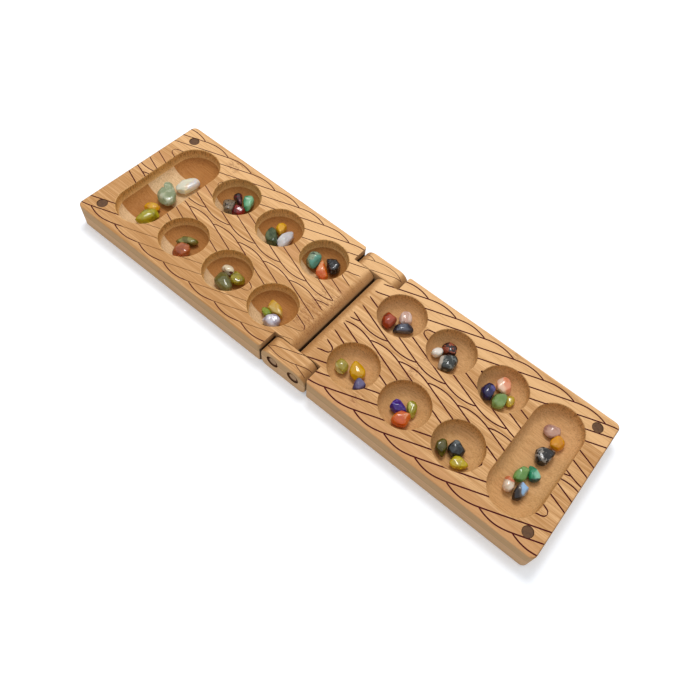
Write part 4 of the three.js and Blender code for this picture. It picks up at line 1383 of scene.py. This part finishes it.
FLOOR_DROP = 0.1 * MM  # keeps the floor and the underside apart
WHITE_FROM, WHITE_AT = 0.5, 1.6  # distances between which the floor grows white
UNDER_BOARD = 0.5 * MM  # rays shorter than this meet the floor right under the board


class MANCALA_OT_stage(bpy.types.Operator):
    """Makes the floor, the lamps, the surroundings and the camera"""

    bl_idname = "mancala.stage"
    bl_label = "Stage"

    def execute(self, context):
        looks = context.scene.mancala_stage
        self.floor(looks)
        self.surroundings(context.scene, looks)
        self.lamp("overhead_lamp", power=looks.overhead, size=0.9, place=(-0.2, 0.2, 1.3))
        self.lamp("window_lamp", power=looks.window, size=0.36, place=(-0.27, 0.34, 1.18))
        self.camera(context.scene)
        context.scene.view_settings.view_transform = "Standard"
        return {"FINISHED"}

    def floor(self, looks):
        """A pale floor that keeps the shadow, grows white far out and is clear from below and
        to the light right under the board, so that the underside can be looked at."""
        mesh = bpy.data.meshes.new("floor")
        rework(mesh, lambda work: bmesh.ops.create_grid(
            work, x_segments=1, y_segments=1, size=6))
        material, n, surface = new_material("floor")
        n.fill(surface, Base_Color=looks.floor, Roughness=0.9, Specular_IOR_Level=0.0)
        path, shown = n.shown_white()
        away = n.add("VectorMath", operation="LENGTH")
        n.link(n.add("TexCoord").outputs["Object"], away.inputs[0])
        strength = n.ramp(away.outputs["Value"], WHITE_FROM, WHITE_AT, looks.floor_glow, 1.0)
        glow = n.fill(n.add("Emission"), Color=WHITE, Strength=n.times(shown, strength))
        lit = n.add("AddShader")
        n.feed(lit.inputs, (surface.outputs[0], glow.outputs[0]))
        under_board = n.times(n.math("LESS_THAN", path.outputs["Ray Length"], UNDER_BOARD),
                              n.minus(1.0, path.outputs["Is Camera Ray"]))
        below = n.greatest(n.add("NewGeometry").outputs["Backfacing"], under_board)
        clear = n.add("BsdfTransparent")
        both = n.add("MixShader")
        n.feed(both.inputs, (below, lit.outputs[0], clear.outputs[0]))
        n.link(both.outputs[0], material.node_tree.nodes["Material Output"].inputs["Surface"])
        mesh.materials.append(material)
        floor = add_object("floor", mesh)
        floor.location.z = -FLOOR_DROP

    def surroundings(self, scene, looks):
        """Soft light from all round, white where it is seen."""
        world = bpy.data.worlds.new("surroundings")
        world.use_nodes = True
        scene.world = world
        world.node_tree.nodes.clear()
        n = Nodes(world.node_tree)
        soft, white = (n.fill(n.add("Background"), Color=WHITE, Strength=strength)
                       for strength in (looks.ambient, 1.0))
        choice = n.add("MixShader")
        n.feed(choice.inputs, (n.shown_white()[1], soft.outputs[0], white.outputs[0]))
        n.link(choice.outputs[0], n.add("OutputWorld").inputs["Surface"])

    def lamp(self, name, power, size, place):
        """A square lamp that looks at the middle of the board."""
        light = bpy.data.lights.new(name, "AREA")
        light.energy = power
        light.size = size
        lamp = add_object(name, light)
        lamp.location = place
        lamp.rotation_euler = (-Vector(place)).to_track_quat("-Z", "Y").to_euler()

    def camera(self, scene):
        """The camera at the photograph's viewing angle."""
        data = bpy.data.cameras.new("camera")
        data.sensor_fit = "HORIZONTAL"
        data.sensor_width = 36
        data.lens = VIEW_LENS
        data.shift_x, data.shift_y = VIEW_SHIFT
        data.clip_start = 0.01
        camera = add_object("camera", data)
        camera.location = VIEW_PLACE
        camera.rotation_euler = [math.radians(angle) for angle in VIEW_TURN]
        scene.camera = camera


# ---------------------------------------------------------------- panel and run


STEPS = ("finishes", "boards", "links", "dowels", "magnets", "stones", "stage")


class MANCALA_PT_panel(bpy.types.Panel):
    """Lists the sizes and colours, and the steps that make the board"""

    bl_label = "Mancala board"
    bl_idname = "MANCALA_PT_panel"
    bl_space_type = "VIEW_3D"
    bl_region_type = "UI"
    bl_category = "Mancala"

    def draw(self, context):
        for name, group in PROPERTIES.items():
            for label in group.__annotations__:
                self.layout.prop(getattr(context.scene, name), label)
        for step in STEPS:
            self.layout.operator(f"mancala.{step}")


PROPERTIES = {"mancala_board": BoardSizes, "mancala_link": LinkSizes, "mancala_lines": LineSizes,
              "mancala_looks": WoodLooks, "mancala_stones": StoneSizes,
              "mancala_stage": StageLooks}
CLASSES = (
    *PROPERTIES.values(), MANCALA_OT_finishes, MANCALA_OT_boards, MANCALA_OT_links,
    MANCALA_OT_dowels, MANCALA_OT_magnets, MANCALA_OT_stones, MANCALA_OT_stage,
    MANCALA_PT_panel,
)


def register():
    for made in CLASSES:
        bpy.utils.register_class(made)
    for name, group in PROPERTIES.items():
        setattr(bpy.types.Scene, name, bpy.props.PointerProperty(type=group))


def unregister():
    for name in PROPERTIES:
        delattr(bpy.types.Scene, name)
    for made in reversed(CLASSES):
        bpy.utils.unregister_class(made)


def main():
    register()
    for step in STEPS:
        getattr(bpy.ops.mancala, step)()


if __name__ == "__main__":
    main()
